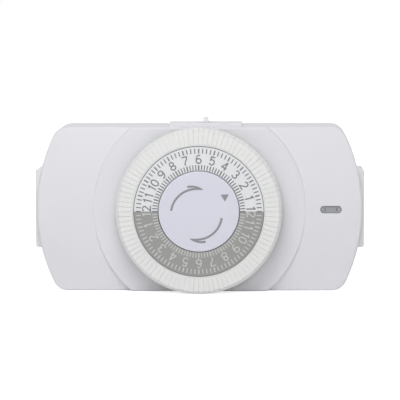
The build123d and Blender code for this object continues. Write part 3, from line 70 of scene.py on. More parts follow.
def new_material(name, sockets):
    """A material with these values on its shader's own sockets."""
    made = bpy.data.materials.new(name)
    made.use_nodes = True
    for socket, value in sockets.items():
        made.node_tree.nodes["Principled BSDF"].inputs[socket].default_value = value
    return made


def feed(material, socket, source, output):
    """Link an output to a socket of the material's shader."""
    shader = material.node_tree.nodes["Principled BSDF"]
    material.node_tree.links.new(source.outputs[output], shader.inputs[socket])


def moulded_plastic(name, colour, shade, roughness, grain, relief):
    """Moulded plastic: cloudy between two colours, with a grain and its relief in millimetres."""
    made = new_material(name, {"IOR": 1.5})
    place = add_node(made, "TexCoord", {}, {})
    cloud = add_node(made, "TexNoise", {"Scale": 1 / (PLASTIC_CLOUD * MM), "Detail": 3.0},
                     {"Vector": (place, "Object")})
    tint = add_node(made, "MixRGB", {"Color1": linear(colour), "Color2": linear(shade)},
                    {"Fac": (cloud, "Fac")})
    spark = add_node(made, "TexNoise", {"Scale": 1 / (grain * MM), "Detail": 2.0},
                     {"Vector": (place, "Object")})
    satin = add_node(made, "MapRange",
                     {"To Min": roughness - SATIN_SWING, "To Max": roughness + SATIN_SWING},
                     {"Value": (spark, "Fac")})
    bump = add_node(made, "Bump", {"Strength": 0.4, "Distance": relief * MM},
                    {"Height": (spark, "Fac")})
    feed(made, "Base Color", tint, "Color")
    feed(made, "Roughness", satin, "Result")
    feed(made, "Normal", bump, "Normal")
    return made


def wear(material, *names):
    """Give CAD nodes this material."""
    for name in names:
        nodes[name].data.materials.clear()
        nodes[name].data.materials.append(material)


# a cool white with a soft, broad shine; a real grain is about 0.1 mm, and this and the other
# plastics' are drawn at 0.3 mm and more, so that they show
case_abs = moulded_plastic("white ABS, spark-eroded", "e6e6ea", "e2e2e7", 0.44, 0.4, 0.012)
wear(case_abs, "rear_cover")


# ---- Case screws and plate screws ----
# Pan-head screws with a cross recess, cold formed in steel and zinc plated. The case screws clamp
# the two covers together from the back, and the plate screws hold the gear plate to its bosses.

METAL_CLOUD = 4.0                   # mm across
SHEEN_SWING = 0.08                  # how far the lines move the roughness each way


def plated_metal(name, colour, shade, roughness, along, across, relief):
    """Metal with drawn or rolled lines: their length and spacing in millimetres, along local X."""
    made = new_material(name, {"Metallic": 1.0})
    place = add_node(made, "TexCoord", {}, {})
    cloud = add_node(made, "TexNoise", {"Scale": 1 / (METAL_CLOUD * MM), "Detail": 3.0},
                     {"Vector": (place, "Object")})
    tint = add_node(made, "MixRGB", {"Color1": linear(colour), "Color2": linear(shade)},
                    {"Fac": (cloud, "Fac")})
    stretch = add_node(made, "Mapping", {"Scale": (across / along, 1.0, 1.0)},
                       {"Vector": (place, "Object")})
    lines = add_node(made, "TexNoise", {"Scale": 1 / (across * MM), "Detail": 3.0},
                     {"Vector": (stretch, "Vector")})
    sheen = add_node(made, "MapRange",
                     {"To Min": roughness - SHEEN_SWING, "To Max": roughness + SHEEN_SWING},
                     {"Value": (lines, "Fac")})
    bump = add_node(made, "Bump", {"Strength": 0.5, "Distance": relief * MM},
                    {"Height": (lines, "Fac")})
    feed(made, "Base Color", tint, "Color")
    feed(made, "Roughness", sheen, "Result")
    feed(made, "Normal", bump, "Normal")
    return made


# a blurred grey mirror, with the slightly bluer and yellower clouds of passivated zinc; real lines
# are finer than 0.1 mm, and all the metals' are drawn at 0.25 mm and more, so that they show
wear(plated_metal("zinc-plated steel", "a6a9ae", "b3b1aa", 0.34, 0.8, 0.5, 0.004),
     "case_screws", "plate_screws")


# ---- Plug base, blades and ground pin ----
# The blades are stamped from rolled brass strip and the ground pin is turned from brass rod;
# both sit in a block of glass-filled polyester.

# warm yellow metal, bright from use, with a fine, even texture
wear(plated_metal("rolled brass, bright", "e3c27c", "d8b46a", 0.26, 6.0, 0.25, 0.003),
     "plug_blades", "ground_pin")
# dull ivory; the short glass fibres show as flecks
wear(moulded_plastic("glass-filled polyester", "cfcdc4", "c4c2b8", 0.55, 0.7, 0.02), "plug_base")


# ---- Bus strips ----
# The hot, neutral and ground strips are stamped and folded from thin brass sheet,
# and aren't polished after stamping.

# duller and browner than the blades, with long rolling lines
wear(plated_metal("brass sheet, stamped", "c9a45c", "b48f4c", 0.38, 12.0, 0.3, 0.005),
     "hot_bus", "neutral_bus", "ground_bus")


# ---- Gear plate, motor and switches ----
# A grey-white nylon plate carries the gear train. The motor's cup and lid are deep drawn from
# zinc-coated steel round a wound coil; the two switches are black polyester with a red plunger.

# a dry, matt grey, mottled by its glass fibres
wear(moulded_plastic("nylon, glass filled", "c9cbcd", "bec0c3", 0.5, 0.6, 0.02), "gear_plate")
# a soft grey mirror with draw marks
wear(plated_metal("zinc-coated sheet steel", "b9bcc0", "a9acb0", 0.36, 2.5, 0.4, 0.006),
     "motor_case", "motor_cover")
# near black, with an even satin
wear(moulded_plastic("black polyester", "1d1e20", "242527", 0.46, 0.5, 0.015),
     "microswitch_case", "override_switch_case")
# a deep signal red, smooth where it slides
wear(moulded_plastic("red acetal", "a8261f", "9a211b", 0.4, 0.5, 0.01), "microswitch_plunger")
# darker and smoother than the motor's zinc, with fine lines from drawing
wear(plated_metal("spring steel", "a4a6aa", "979a9f", 0.3, 3.0, 0.3, 0.003),
     "dial_retainer", "clutch_spring", "lever_pin")

# turns of enamelled copper wire round the motor's axis, copper red, with painted shade as dark lines
# between them; real wire is 0.25 mm thick, and it is drawn twice as coarse so that its turns show
COIL_X, COIL_Z, WIRE_PITCH = -8.0, -10.0, 0.5
RING_SCALE = 0.314                  # at this scale the ring pattern repeats once a metre
enamel = new_material("enamelled copper winding", {"Metallic": 0.6, "Roughness": 0.35})
enamel_place = add_node(enamel, "TexCoord", {}, {})
enamel_centre = add_node(enamel, "Mapping", {"Location": (-COIL_X * MM, 0.0, -COIL_Z * MM)},
                         {"Vector": (enamel_place, "Object")})
enamel_turns = add_node(enamel, "TexWave", {"wave_type": "RINGS", "rings_direction": "Y",
                                            "Scale": RING_SCALE / (WIRE_PITCH * MM)},
                        {"Vector": (enamel_centre, "Vector")})
# painted shade: the darker of the two colours makes the lines between the turns
enamel_tint_and_shade = add_node(enamel, "MixRGB", {"Color1": linear("6b2f12"), "Color2": linear("b8622e")},
                       {"Fac": (enamel_turns, "Fac")})
enamel_bump = add_node(enamel, "Bump", {"Strength": 0.6, "Distance": 0.1 * MM},
                       {"Height": (enamel_turns, "Fac")})
feed(enamel, "Base Color", enamel_tint_and_shade, "Color")
feed(enamel, "Normal", enamel_bump, "Normal")
wear(enamel, "motor_coil")


# ---- Gears and trip lever ----
# Gears, pinions and the lever are moulded in natural acetal, which is slippery and a little waxy.
# Their moulds have no grain, since the teeth and the lever's nose rub on other pieces.

# milky and even, with a tighter shine than the case
acetal = moulded_plastic("natural acetal", "ebe9df", "e4e2d6", 0.34, 0.8, 0.004)
wear(acetal, "dial_gear_ring", "drive_pinion", "clutch_wheel", "motor_pinion", "trip_lever")


# ---- Front cover ----
# The front half of the case, in the same white ABS and the same grain as the back: a flat round
# land behind the dial, crowned wings, and ends that bow out. The left wing is left plain.

wear(case_abs, "front_cover")


# ---- Outlets ----
# Each outlet face is a separate moulding in white polyester, which stands heat better than ABS.
# It fills a window in the end of the case, and the two covers hold it by its flange.

# a little brighter and smoother than the case
wear(moulded_plastic("white polyester, satin", "eeedf0", "eae9ec", 0.38, 0.5, 0.008),
     "left_outlet_face", "right_outlet_face")


# ---- Override switch on the top ----
# A white bezel clips over the slot in the top, and a small ABS knob slides in it. The knob is one
# moulding: a slider under the wall, a neck through the slot, and a tapered nub with two grooves
# for the thumb.

KNOB_X, KNOB_Z = 2.8, 22.6
SLIDER_LENGTH, SLIDER_DEPTH = 11.0, 8.8
SLIDER_BOTTOM, SLIDER_TOP = 34.1, 35.7
NECK_DEPTH = 4.0
NUB_BOTTOM, NUB_TOP = 39.7, 41.9
NUB_FOOT = (2.8, 8.0)               # width and depth
NUB_CROWN = (1.9, 7.0)
GROOVE_NEAR, GROOVE_FAR = 0.2, 0.55     # the sides of a groove, from the middle of the nub
GROOVE_DEPTH = 0.3
KNOB_EDGE = 0.14
SHARP = 30                          # degrees: a fold past this is rounded, and not shaded smooth


def only(piece):
    """Select this piece alone and make it the active one."""
    bpy.ops.object.select_all(action="DESELECT")
    piece.select_set(True)
    bpy.context.view_layer.objects.active = piece


def pick(piece, kind, test):
    """In edit mode, select the verts, edges or faces that pass the test, and nothing else."""
    bpy.ops.mesh.select_mode(type={"verts": "VERT", "edges": "EDGE", "faces": "FACE"}[kind])
    bpy.ops.mesh.select_all(action="DESELECT")
    mesh = bmesh.from_edit_mesh(piece.data)
    for element in getattr(mesh, kind):
        if test(element):
            element.select_set(True)
    mesh.select_flush_mode()
    bmesh.update_edit_mesh(piece.data)


def near(value, target):
    """Whether two lengths in millimetres are the same, to a hundredth."""
    return abs(value - target) < 0.01


def apply_place():
    """Apply the place, turn and size of what is selected."""
    bpy.ops.object.transform_apply(location=True, rotation=True, scale=True)


def block(centre, size):
    """A block of this size round this centre, in millimetres."""
    bpy.ops.object.select_all(action="DESELECT")
    bpy.ops.mesh.primitive_cube_add(
        size=1, location=[along * MM for along in centre], scale=[side * MM for side in size])
    apply_place()
    return bpy.context.object


def extrude(x, y, z):
    """Extrude what is selected, in millimetres."""
    bpy.ops.mesh.extrude_region_move(TRANSFORM_OT_translate={"value": (x * MM, y * MM, z * MM)})


def round_edges(piece, width, segments, angle=SHARP):
    """Round the edges of the active piece that fold by more than this angle."""
    bpy.ops.object.modifier_add(type="BEVEL")
    bevel = piece.modifiers[-1]
    bevel.width = width * MM
    bevel.segments = segments
    bevel.limit_method = "ANGLE"
    bevel.angle_limit = math.radians(angle)
    bpy.ops.object.modifier_apply(modifier=bevel.name)


def smooth_faces():
    """Shade the active piece smooth, apart from its sharp folds."""
    bpy.ops.object.shade_smooth_by_angle(angle=math.radians(SHARP))


def set_up(piece, name, material, body):
    """Stand up a piece drawn from the front, Z towards the eye; give it its material and body."""
    only(piece)
    piece.name = piece.data.name = name
    piece.rotation_euler = (math.pi / 2, 0, 0)
    apply_place()
    piece.data.materials.clear()
    piece.data.materials.append(material)
    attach(piece, body)
    return piece


def on_crown(face):
    """Whether a face of the knob lies on the top of its nub."""
    return face.normal.y > 0.9 and near(face.calc_center_median().y / MM, NUB_TOP)


knob = block((KNOB_X, (SLIDER_BOTTOM + SLIDER_TOP) / 2, KNOB_Z),
             (SLIDER_LENGTH, SLIDER_TOP - SLIDER_BOTTOM, SLIDER_DEPTH))
bpy.ops.object.mode_set(mode="EDIT")
pick(knob, "faces", lambda f: f.normal.y > 0.9)
knob_steps = (                      # how far up, and the factors on width and depth
    (0, NUB_FOOT[0] / SLIDER_LENGTH, NECK_DEPTH / SLIDER_DEPTH),
    (NUB_BOTTOM - SLIDER_TOP, 1, 1),
    (0, 1, NUB_FOOT[1] / NECK_DEPTH),
    (NUB_TOP - NUB_BOTTOM, NUB_CROWN[0] / NUB_FOOT[0], NUB_CROWN[1] / NUB_FOOT[1]))
for up, wide, deep in knob_steps:
    extrude(0, up, 0)
    bpy.ops.transform.resize(value=(wide, 1, deep), center_override=(KNOB_X * MM, 0, KNOB_Z * MM))
for side in (-1, 1):
    for edge in (GROOVE_NEAR, GROOVE_FAR):
        pick(knob, "faces", on_crown)
        bpy.ops.mesh.bisect(plane_co=((KNOB_X + side * edge) * MM, 0, 0), plane_no=(1, 0, 0))
    pick(knob, "faces", lambda f: on_crown(f)
         and GROOVE_NEAR < side * (f.calc_center_median().x / MM - KNOB_X) < GROOVE_FAR)
    extrude(0, -GROOVE_DEPTH, 0)
bpy.ops.object.mode_set(mode="OBJECT")
round_edges(knob, KNOB_EDGE, 2)
smooth_faces()
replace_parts(set_up(knob, "slide_knob", case_abs, "override_knob"), "override_knob")
wear(case_abs, "override_bezel")


# ---- Indicator lens, lamp and leads ----
# The lens is a smoked polycarbonate oblong with a sunk window; at each end are a short upright
# groove and a round well with a clear stud in it. Behind it are a neon lamp in glass and its
# lacquered resistor, on bare wire legs.

LENS_X, LENS_Y = 60.6, -0.1
LENS_FACE = 35.85
LENS_BACK = 33.5
LENS_FLANGE_BACK = 32.7
LENS_LENGTH, LENS_HEIGHT = 10.0, 3.3
LENS_FLANGE = 1.0
LENS_WALL = 0.42
LENS_EDGE = 0.08
LENS_SHARP = 40                     # degrees
WINDOW_SINK, WINDOW_SLOPE = 0.12, 0.12  # how deep, and how wide the slope down to it is
WINDOW_FACE = LENS_FACE - WINDOW_SINK
WELL_AT, WELL_RADIUS, WELL_DEPTH = 3.72, 0.68, 0.3
BAR_AT, BAR_WIDTH, BAR_HEIGHT = 2.55, 0.3, 1.7
STUD_RADIUS, STUD_FLATNESS, STUD_RISE = 0.46, 0.6, 0.04


def oblong(length, height, back, front):
    """A bar with round ends, drawn from the front at the lens."""
    turns = 48
    bpy.ops.mesh.primitive_cylinder_add(
        vertices=turns, radius=height / 2 * MM, depth=(front - back) * MM,
        location=(LENS_X * MM, LENS_Y * MM, (front + back) / 2 * MM),
        rotation=(0, 0, math.pi / turns))
    piece = bpy.context.object
    apply_place()
    bpy.ops.object.mode_set(mode="EDIT")
    for side in (-1, 1):
        pick(piece, "verts", lambda v: side * (v.co.x - LENS_X * MM) > 0)
        bpy.ops.transform.translate(value=(side * (length - height) / 2 * MM, 0, 0))
    bpy.ops.object.mode_set(mode="OBJECT")
    return piece


bpy.ops.object.select_all(action="DESELECT")
lens_flange = oblong(LENS_LENGTH + 2 * LENS_FLANGE, LENS_HEIGHT + 2 * LENS_FLANGE,
                     LENS_FLANGE_BACK, LENS_BACK)
lens = oblong(LENS_LENGTH, LENS_HEIGHT, LENS_BACK, LENS_FACE)
bpy.ops.object.mode_set(mode="EDIT")
pick(lens, "faces", lambda f: f.normal.z > 0.9)
bpy.ops.mesh.inset(thickness=LENS_WALL * MM, depth=0)
bpy.ops.mesh.inset(thickness=WINDOW_SLOPE * MM, depth=-WINDOW_SINK * MM)
bpy.ops.object.mode_set(mode="OBJECT")
lens_flange.select_set(True)
bpy.ops.object.join()
round_edges(lens, LENS_EDGE, 2, LENS_SHARP)
cutters = []
for side in (-1, 1):
    bpy.ops.object.select_all(action="DESELECT")
    bpy.ops.mesh.primitive_cylinder_add(
        vertices=24, radius=WELL_RADIUS * MM, depth=2 * WELL_DEPTH * MM,
        location=((LENS_X + side * WELL_AT) * MM, LENS_Y * MM, WINDOW_FACE * MM))
    apply_place()
    cutters.append(bpy.context.object)
    cutters.append(block((LENS_X + side * BAR_AT, LENS_Y, WINDOW_FACE),
                         (BAR_WIDTH, BAR_HEIGHT, 2 * WELL_DEPTH)))
only(cutters[0])
for cutter in cutters:
    cutter.select_set(True)
bpy.ops.object.join()
cutter = bpy.context.object
only(lens)
bpy.ops.object.modifier_add(type="BOOLEAN")
lens.modifiers[-1].operation = "DIFFERENCE"
lens.modifiers[-1].object = cutter
bpy.ops.object.modifier_apply(modifier=lens.modifiers[-1].name)
bpy.data.objects.remove(cutter)
smooth_faces()

# smoked polycarbonate, polished: a cool grey under a clear shine, darker in bands along the top
# and bottom of the lens; painted shade darkens it where the wells and grooves go deep
SMOKE_FROM, SMOKE_TO = 0.85, 1.3    # from the middle line of the lens, up or down
# how far behind the window's face the painted shade reaches its full darkness
PAINTED_SHADE_DEPTH = 0.15
smoked = new_material("smoked polycarbonate", {"Roughness": 0.16, "IOR": 1.58, "Coat Weight": 0.3})
smoked_place = add_node(smoked, "TexCoord", {}, {})
smoked_centre = add_node(smoked, "Mapping", {"Location": (-LENS_X * MM, 0, -LENS_Y * MM)},
                         {"Vector": (smoked_place, "Object")})
smoked_axes = add_node(smoked, "SeparateXYZ", {}, {"Vector": (smoked_centre, "Vector")})
smoked_up = add_node(smoked, "Math", {"operation": "ABSOLUTE"}, {0: (smoked_axes, "Z")})
smoked_side = add_node(smoked, "MapRange", {"From Min": SMOKE_FROM * MM, "From Max": SMOKE_TO * MM},
                       {"Value": (smoked_up, "Value")})
# painted shade: the lens turns darker the deeper a surface lies behind the window's face, in the
# wells, the grooves and down its sides
smoked_painted_shade = add_node(smoked, "MapRange",
                       {"From Min": -WINDOW_FACE * MM,
                        "From Max": -(WINDOW_FACE - PAINTED_SHADE_DEPTH) * MM},
                       {"Value": (smoked_axes, "Y")})
smoked_band_and_shade = add_node(smoked, "Math", {"operation": "MAXIMUM"},
                       {0: (smoked_side, "Result"), 1: (smoked_painted_shade, "Result")})
smoked_tint = add_node(smoked, "MixRGB", {"Color1": linear("94969c"), "Color2": linear("6a6c72")},
                       {"Fac": (smoked_band_and_shade, "Value")})
feed(smoked, "Base Color", smoked_tint, "Color")
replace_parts(set_up(lens, "smoked_lens", smoked, "housing"), "indicator_lens")

studs = []
for side in (-1, 1):
    bpy.ops.object.select_all(action="DESELECT")
    bpy.ops.mesh.primitive_uv_sphere_add(
        segments=20, ring_count=10, radius=STUD_RADIUS * MM, scale=(1, 1, STUD_FLATNESS),
        location=((LENS_X + side * WELL_AT) * MM, LENS_Y * MM,
                  (WINDOW_FACE - WELL_DEPTH + STUD_RISE) * MM))
    apply_place()
    studs.append(bpy.context.object)
only(studs[0])
studs[1].select_set(True)
bpy.ops.object.join()
bpy.ops.object.shade_smooth()
# a pale dot: its pale colour is a painted highlight, standing for the bright spot at each end of
# the lens, with a small real highlight from its shine
stud_painted_highlight = moulded_plastic("clear polycarbonate, painted highlight", "cfd2d6", "c6c9cd", 0.2, 0.3, 0.002)
set_up(studs[0], "lens_studs", stud_painted_highlight, "housing")

# drawn glass: clear and slightly warm, with a ripple that bends what is behind it
GLASS_RIPPLE = 2.0                  # mm across
glass = new_material("clear lamp glass", {"Base Color": linear("f3e9df"), "Roughness": 0.05,
                                          "IOR": 1.5, "Transmission Weight": 0.9})
glass_place = add_node(glass, "TexCoord", {}, {})
glass_ripple = add_node(glass, "TexNoise", {"Scale": 1 / (GLASS_RIPPLE * MM), "Detail": 1.0},
                        {"Vector": (glass_place, "Object")})
glass_bump = add_node(glass, "Bump", {"Strength": 0.2, "Distance": 0.02 * MM},
                      {"Height": (glass_ripple, "Fac")})
feed(glass, "Normal", glass_bump, "Normal")
wear(glass, "neon_lamp")

# dipped lacquer: tan and glossy, with brown colour bands across it
BAND_PITCH, BAND_WIDTH = 1.6, 0.7
lacquer = new_material("resistor lacquer", {"Roughness": 0.35})
lacquer_place = add_node(lacquer, "TexCoord", {}, {})
lacquer_axes = add_node(lacquer, "SeparateXYZ", {}, {"Vector": (lacquer_place, "Object")})
lacquer_bands = add_node(lacquer, "Math", {"operation": "PINGPONG", 1: BAND_PITCH / 2 * MM},
                         {0: (lacquer_axes, "Y")})
lacquer_edge = add_node(lacquer, "Math",
                        {"operation": "GREATER_THAN", 1: (BAND_PITCH - BAND_WIDTH) / 2 * MM},
                        {0: (lacquer_bands, "Value")})
lacquer_tint = add_node(lacquer, "MixRGB", {"Color1": linear("c9ab78"), "Color2": linear("7a3320")},
                        {"Fac": (lacquer_edge, "Value")})
feed(lacquer, "Base Color", lacquer_tint, "Color")
wear(lacquer, "neon_resistor")

# PVC insulation, extruded: a warm white with the slight waviness of a drawn lead
wear(moulded_plastic("white PVC insulation", "dcdbd6", "d2d1cb", 0.4, 1.5, 0.02), "internal_leads")


# ---- Dial wheel ----
# The wheel that carries the pins is moulded in white ABS.
# Its ribs show as fine lines between the pins.

# a neutral white, warmer than the case and a touch glossier
wear(moulded_plastic("white ABS, dial", "efefee", "ebebea", 0.4, 0.4, 0.008), "dial_wheel")


# ---- Setting pins ----
# 96 cream ABS pins stand in slots round the wheel, four to the hour, and slide in and out. Each is
# a small moulded wedge with a chamfered tip, a hook at its heel, rubbed-round edges and, outside
# the wheel's ribs, a wider head.

HOURS, PINS_FOR_AN_HOUR = 24, 4
PIN_PITCH = 3.75                    # degrees
HOUR_PITCH = PINS_FOR_AN_HOUR * PIN_PITCH
FIRST_PIN = PIN_PITCH / 2
PIN_INNER, PIN_OUTER = 30.5, 38.0
PIN_SLOPE = math.tan(math.radians(1.57))
PIN_HEAD, PIN_HEAD_WIDER = 36.65, 1.16  # the radius where the head starts, and its factor on width
PIN_HEEL, PIN_TIP = 39.2, 48.0
PIN_HOOK_TOP, PIN_HOOK = 40.6, 0.9
TIP_CHAMFER, HEEL_CHAMFER = 1.3, 0.5
PIN_EDGE = 0.04


def middle(edge):
    """The middle of an edge, in millimetres."""
    return (edge.verts[0].co + edge.verts[1].co) / 2 / MM


def resize_width(factor):
    """Resize what is selected across the pin."""
    bpy.ops.transform.resize(value=(1, factor, 1), center_override=(0, 0, 0))


pin = block(((PIN_INNER + PIN_OUTER) / 2, 0, (PIN_HEEL + PIN_TIP) / 2),
            (PIN_OUTER - PIN_INNER, 2 * PIN_INNER * PIN_SLOPE, PIN_TIP - PIN_HEEL))
bpy.ops.object.mode_set(mode="EDIT")
pick(pin, "verts", lambda v: near(v.co.x / MM, PIN_OUTER))
resize_width(PIN_OUTER / PIN_INNER)
pick(pin, "verts", lambda v: True)
bpy.ops.mesh.bisect(plane_co=(0, 0, PIN_HOOK_TOP * MM), plane_no=(0, 0, 1))
pick(pin, "faces", lambda f: f.normal.x < -0.9 and f.calc_center_median().z / MM < PIN_HOOK_TOP)
extrude(-PIN_HOOK, 0, 0)
resize_width((PIN_INNER - PIN_HOOK) / PIN_INNER)
pick(pin, "verts", lambda v: True)
bpy.ops.mesh.bisect(plane_co=(PIN_HEAD * MM, 0, 0), plane_no=(1, 0, 0))
pick(pin, "faces", lambda f: abs(f.normal.y) > 0.9 and f.calc_center_median().x / MM > PIN_HEAD)
extrude(0, 0, 0)
resize_width(PIN_HEAD_WIDER)
pick(pin, "edges", lambda e: near(middle(e).x, PIN_OUTER) and near(middle(e).z, PIN_TIP))
bpy.ops.mesh.bevel(offset=TIP_CHAMFER * MM, segments=1)
pick(pin, "edges", lambda e: near(middle(e).x, PIN_OUTER) and near(middle(e).z, PIN_HEEL))
bpy.ops.mesh.bevel(offset=HEEL_CHAMFER * MM, segments=1)
bpy.ops.object.mode_set(mode="OBJECT")
round_edges(pin, PIN_EDGE, 1)
pin.rotation_euler = (0, 0, math.radians(FIRST_PIN))
apply_place()
bpy.ops.object.mode_set(mode="EDIT")
bpy.ops.mesh.select_all(action="SELECT")
others = PINS_FOR_AN_HOUR - 1
bpy.ops.mesh.spin(steps=others, dupli=True, angle=math.radians(-others * PIN_PITCH),
                  center=(0, 0, 0), axis=(0, 0, 1))
bpy.ops.object.mode_set(mode="OBJECT")
bpy.ops.object.shade_flat()

# unpainted ABS: a faintly green-grey cream, satin, smoother than the case
cream = moulded_plastic("cream ABS, unpainted", "eaebea", "e6e7e5", 0.36, 0.5, 0.006)
for hour in range(HOURS):
    hour_pins = pin.copy()
    hour_pins.data = pin.data.copy()
    bpy.context.scene.collection.objects.link(hour_pins)
    only(hour_pins)
    hour_pins.rotation_euler = (0, 0, math.radians(HOUR_PITCH * hour))
    apply_place()
    node = f"hour_pins_{hour + 1:02d}"
    name = f"setting_pins_{hour + 1:02d}"
    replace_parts(set_up(hour_pins, name, cream, node), node)
bpy.data.objects.remove(pin)


# ---- Number ring ----
# A printed plastic ring: the day's half is pale and the night's half grey, and the line between
# them runs straight across the dial. The print covers only its face.

RING_FACE = 47.4
PRINT_DEPTH = 0.05                  # taken behind the face, so that all of it is printed
PRINT_CLOUD = 6.0                   # mm across

# screen ink over a whole face: an even satin, with faint clouds where it lies thicker
ring_ink = new_material("printed number ring", {"Roughness": 0.42, "IOR": 1.5})
ring_place = add_node(ring_ink, "TexCoord", {}, {})
ring_axes = add_node(ring_ink, "SeparateXYZ", {}, {"Vector": (ring_place, "Object")})
ring_night = add_node(ring_ink, "Math", {"operation": "LESS_THAN", 1: 0.0}, {0: (ring_axes, "Z")})
ring_face = add_node(ring_ink, "Math",
                     {"operation": "LESS_THAN", 1: -(RING_FACE - PRINT_DEPTH) * MM},
                     {0: (ring_axes, "Y")})
ring_half = add_node(ring_ink, "Math", {"operation": "MULTIPLY"},
                     {0: (ring_night, "Value"), 1: (ring_face, "Value")})
ring_cloud = add_node(ring_ink, "TexNoise", {"Scale": 1 / (PRINT_CLOUD * MM), "Detail": 3.0},
                      {"Vector": (ring_place, "Object")})
ring_day = add_node(ring_ink, "MixRGB", {"Color1": linear("e7e8ea"), "Color2": linear("e2e3e5")},
                    {"Fac": (ring_cloud, "Fac")})
ring_dark = add_node(ring_ink, "MixRGB", {"Color1": linear("9b9c9a"), "Color2": linear("949593")},
                     {"Fac": (ring_cloud, "Fac")})
ring_tint = add_node(ring_ink, "MixRGB", {},
                     {"Fac": (ring_half, "Value"), "Color1": (ring_day, "Color"),
                      "Color2": (ring_dark, "Color")})
feed(ring_ink, "Base Color", ring_tint, "Color")
wear(ring_ink, "number_ring")


# ---- Hour figures and quarter-hour marks ----
# Screen printed on the ring: grey on the day's half and white on the night's, a film of ink that
# stands a few hundredths of a millimetre proud. The figures run anticlockwise, with their feet to
# the centre. A grey line of the same kind round the ring's edge is painted shadow: it stands for the
# shade in the gap between the ring and the wheel.

INK_SUNK, INK_PROUD = 0.01, 0.03
FIGURE_CIRCLE = 23.9
FIGURE_PEN = 0.56
FIGURE_HALF, BEYOND = 1.83, 2.11    # middle of the top line, and the end of an upright
FIGURE_STEP = 2.6                   # between the two figures of one hour
OUTER_MARKS = (26.55, 28.75)
INNER_MARKS = (18.95, 21.3)
HOUR_PEN, QUARTER_PEN = 0.64, 0.5
# the circle and width of the painted shadow round the ring's edge
GAP_SHADOW_CIRCLE, GAP_SHADOW_PEN = 29.72, 0.3


def pen(width):
    """The cross section of a line of ink, as a curve to sweep."""
    bpy.ops.curve.primitive_bezier_circle_add(radius=1, location=(0, 0, 0))
    nib = bpy.context.object
    nib.data.splines.clear()
    outline = nib.data.splines.new("POLY")
    outline.points.add(3)
    half = width / 2
    corners = [(-half, -INK_SUNK), (half, -INK_SUNK), (half, INK_PROUD), (-half, INK_PROUD)]
    for point, (x, y) in zip(outline.points, corners):
        point.co = (x * MM, y * MM, 0, 1)
    outline.use_cyclic_u = True
    return nib


def ink_lines(strokes, width, face):
    """A mesh of the strokes, each a list of (x, y, width factor) and whether it closes, on a face."""
    bpy.ops.object.select_all(action="DESELECT")
    nib = pen(width)
    bpy.ops.curve.primitive_bezier_curve_add(location=(0, 0, 0))
    piece = bpy.context.object
    piece.data.splines.clear()
    piece.data.dimensions = "2D"
    piece.data.fill_mode = "NONE"
    piece.data.bevel_mode = "OBJECT"
    piece.data.bevel_object = nib
    piece.data.use_fill_caps = True
    for points, closed in strokes:
        line = piece.data.splines.new("POLY")
        line.points.add(len(points) - 1)
        for point, (x, y, factor) in zip(line.points, points):
            point.co = (x * MM, y * MM, 0, 1)
            point.radius = factor
        line.use_cyclic_u = closed
    only(piece)
    bpy.ops.object.convert(target="MESH")
    bpy.data.objects.remove(nib)
    bpy.ops.object.mode_set(mode="EDIT")
    bpy.ops.mesh.select_all(action="SELECT")
    bpy.ops.mesh.remove_doubles(threshold=0.0001 * MM)
    bpy.ops.mesh.normals_make_consistent(inside=False)
    bpy.ops.mesh.select_all(action="SELECT")
    bpy.ops.mesh.intersect_boolean(operation="UNION", use_self=True, solver="EXACT")
    bpy.ops.mesh.select_all(action="SELECT")
    bpy.ops.transform.translate(value=(0, 0, face * MM))
    bpy.ops.object.mode_set(mode="OBJECT")
    bpy.ops.object.shade_flat()
    return piece


def arc(x, y, wide, high, start, end, steps=14):
    """Points of an elliptical arc, the angles in degrees."""
    turn = [math.radians(start + (end - start) * i / steps) for i in range(steps + 1)]
    return [(x + wide * math.cos(a), y + high * math.sin(a)) for a in turn]


def oval(x, y, wide, high):
    """Points of a whole ellipse, 15 degrees apart."""
    return arc(x, y, wide, high, 0, 345, 23)


# each figure is 2.8 mm wide and 4.2 mm tall over its ink; a stroke is its points and whether it
# closes, and the strokes overlap and are then united
FIGURES = {
    "0": [(oval(0, 0, 1.1, FIGURE_HALF), True)],
    "1": [([(-0.75, 1.0), (0.15, 1.75)], False), ([(0.15, BEYOND), (0.15, -BEYOND)], False)],
    "2": [(arc(0, 0.9, 1.03, 0.93, 170, -38) + [(-0.95, -1.72)], False),
          ([(-1.36, -FIGURE_HALF), (1.3, -FIGURE_HALF)], False)],
    "3": [(arc(-0.03, 0.93, 0.96, 0.9, 160, -90), False),
          (arc(-0.03, -0.87, 1.11, 0.96, 90, -160), False)],
    "4": [([(0.55, BEYOND), (0.55, -BEYOND)], False), ([(0.5, 1.9), (-1.15, -0.8)], False),
          ([(-1.4, -0.87), (1.25, -0.87)], False)],
    "5": [([(1.0, FIGURE_HALF), (-0.95, FIGURE_HALF)], False),
          ([(-0.72, BEYOND), (-0.9, -0.05)], False),
          (arc(-0.03, -0.62, 1.13, 1.21, 140, -150), False)],
    "6": [(oval(0, -0.77, 1.11, 1.06), True), (arc(0.1, -0.35, 1.2, 2.18, 180, 62), False)],
    "7": [([(-1.25, FIGURE_HALF), (1.3, FIGURE_HALF)], False),
          ([(1.1, 1.9)] + arc(2.6, -BEYOND, 3.0, 3.3, 128, 180, 6), False)],
    "8": [(oval(0, 0.93, 0.93, 0.9), True), (oval(0, -0.87, 1.11, 0.96), True)],
}
FIGURES["9"] = [([(-x, -y) for x, y in line], closed) for line, closed in FIGURES["6"]]


def turned(line, angle, out):
    """A line moved out along the upright and then turned, in degrees anticlockwise from the right."""
    c, s = math.cos(math.radians(angle)), math.sin(math.radians(angle))
    return [((y + out) * c + x * s, (y + out) * s - x * c, 1.0) for x, y in line]


def is_night(points):
    """Whether a line lies on the lower half of the dial."""
    return sum(y for _, y, _ in points) < 0


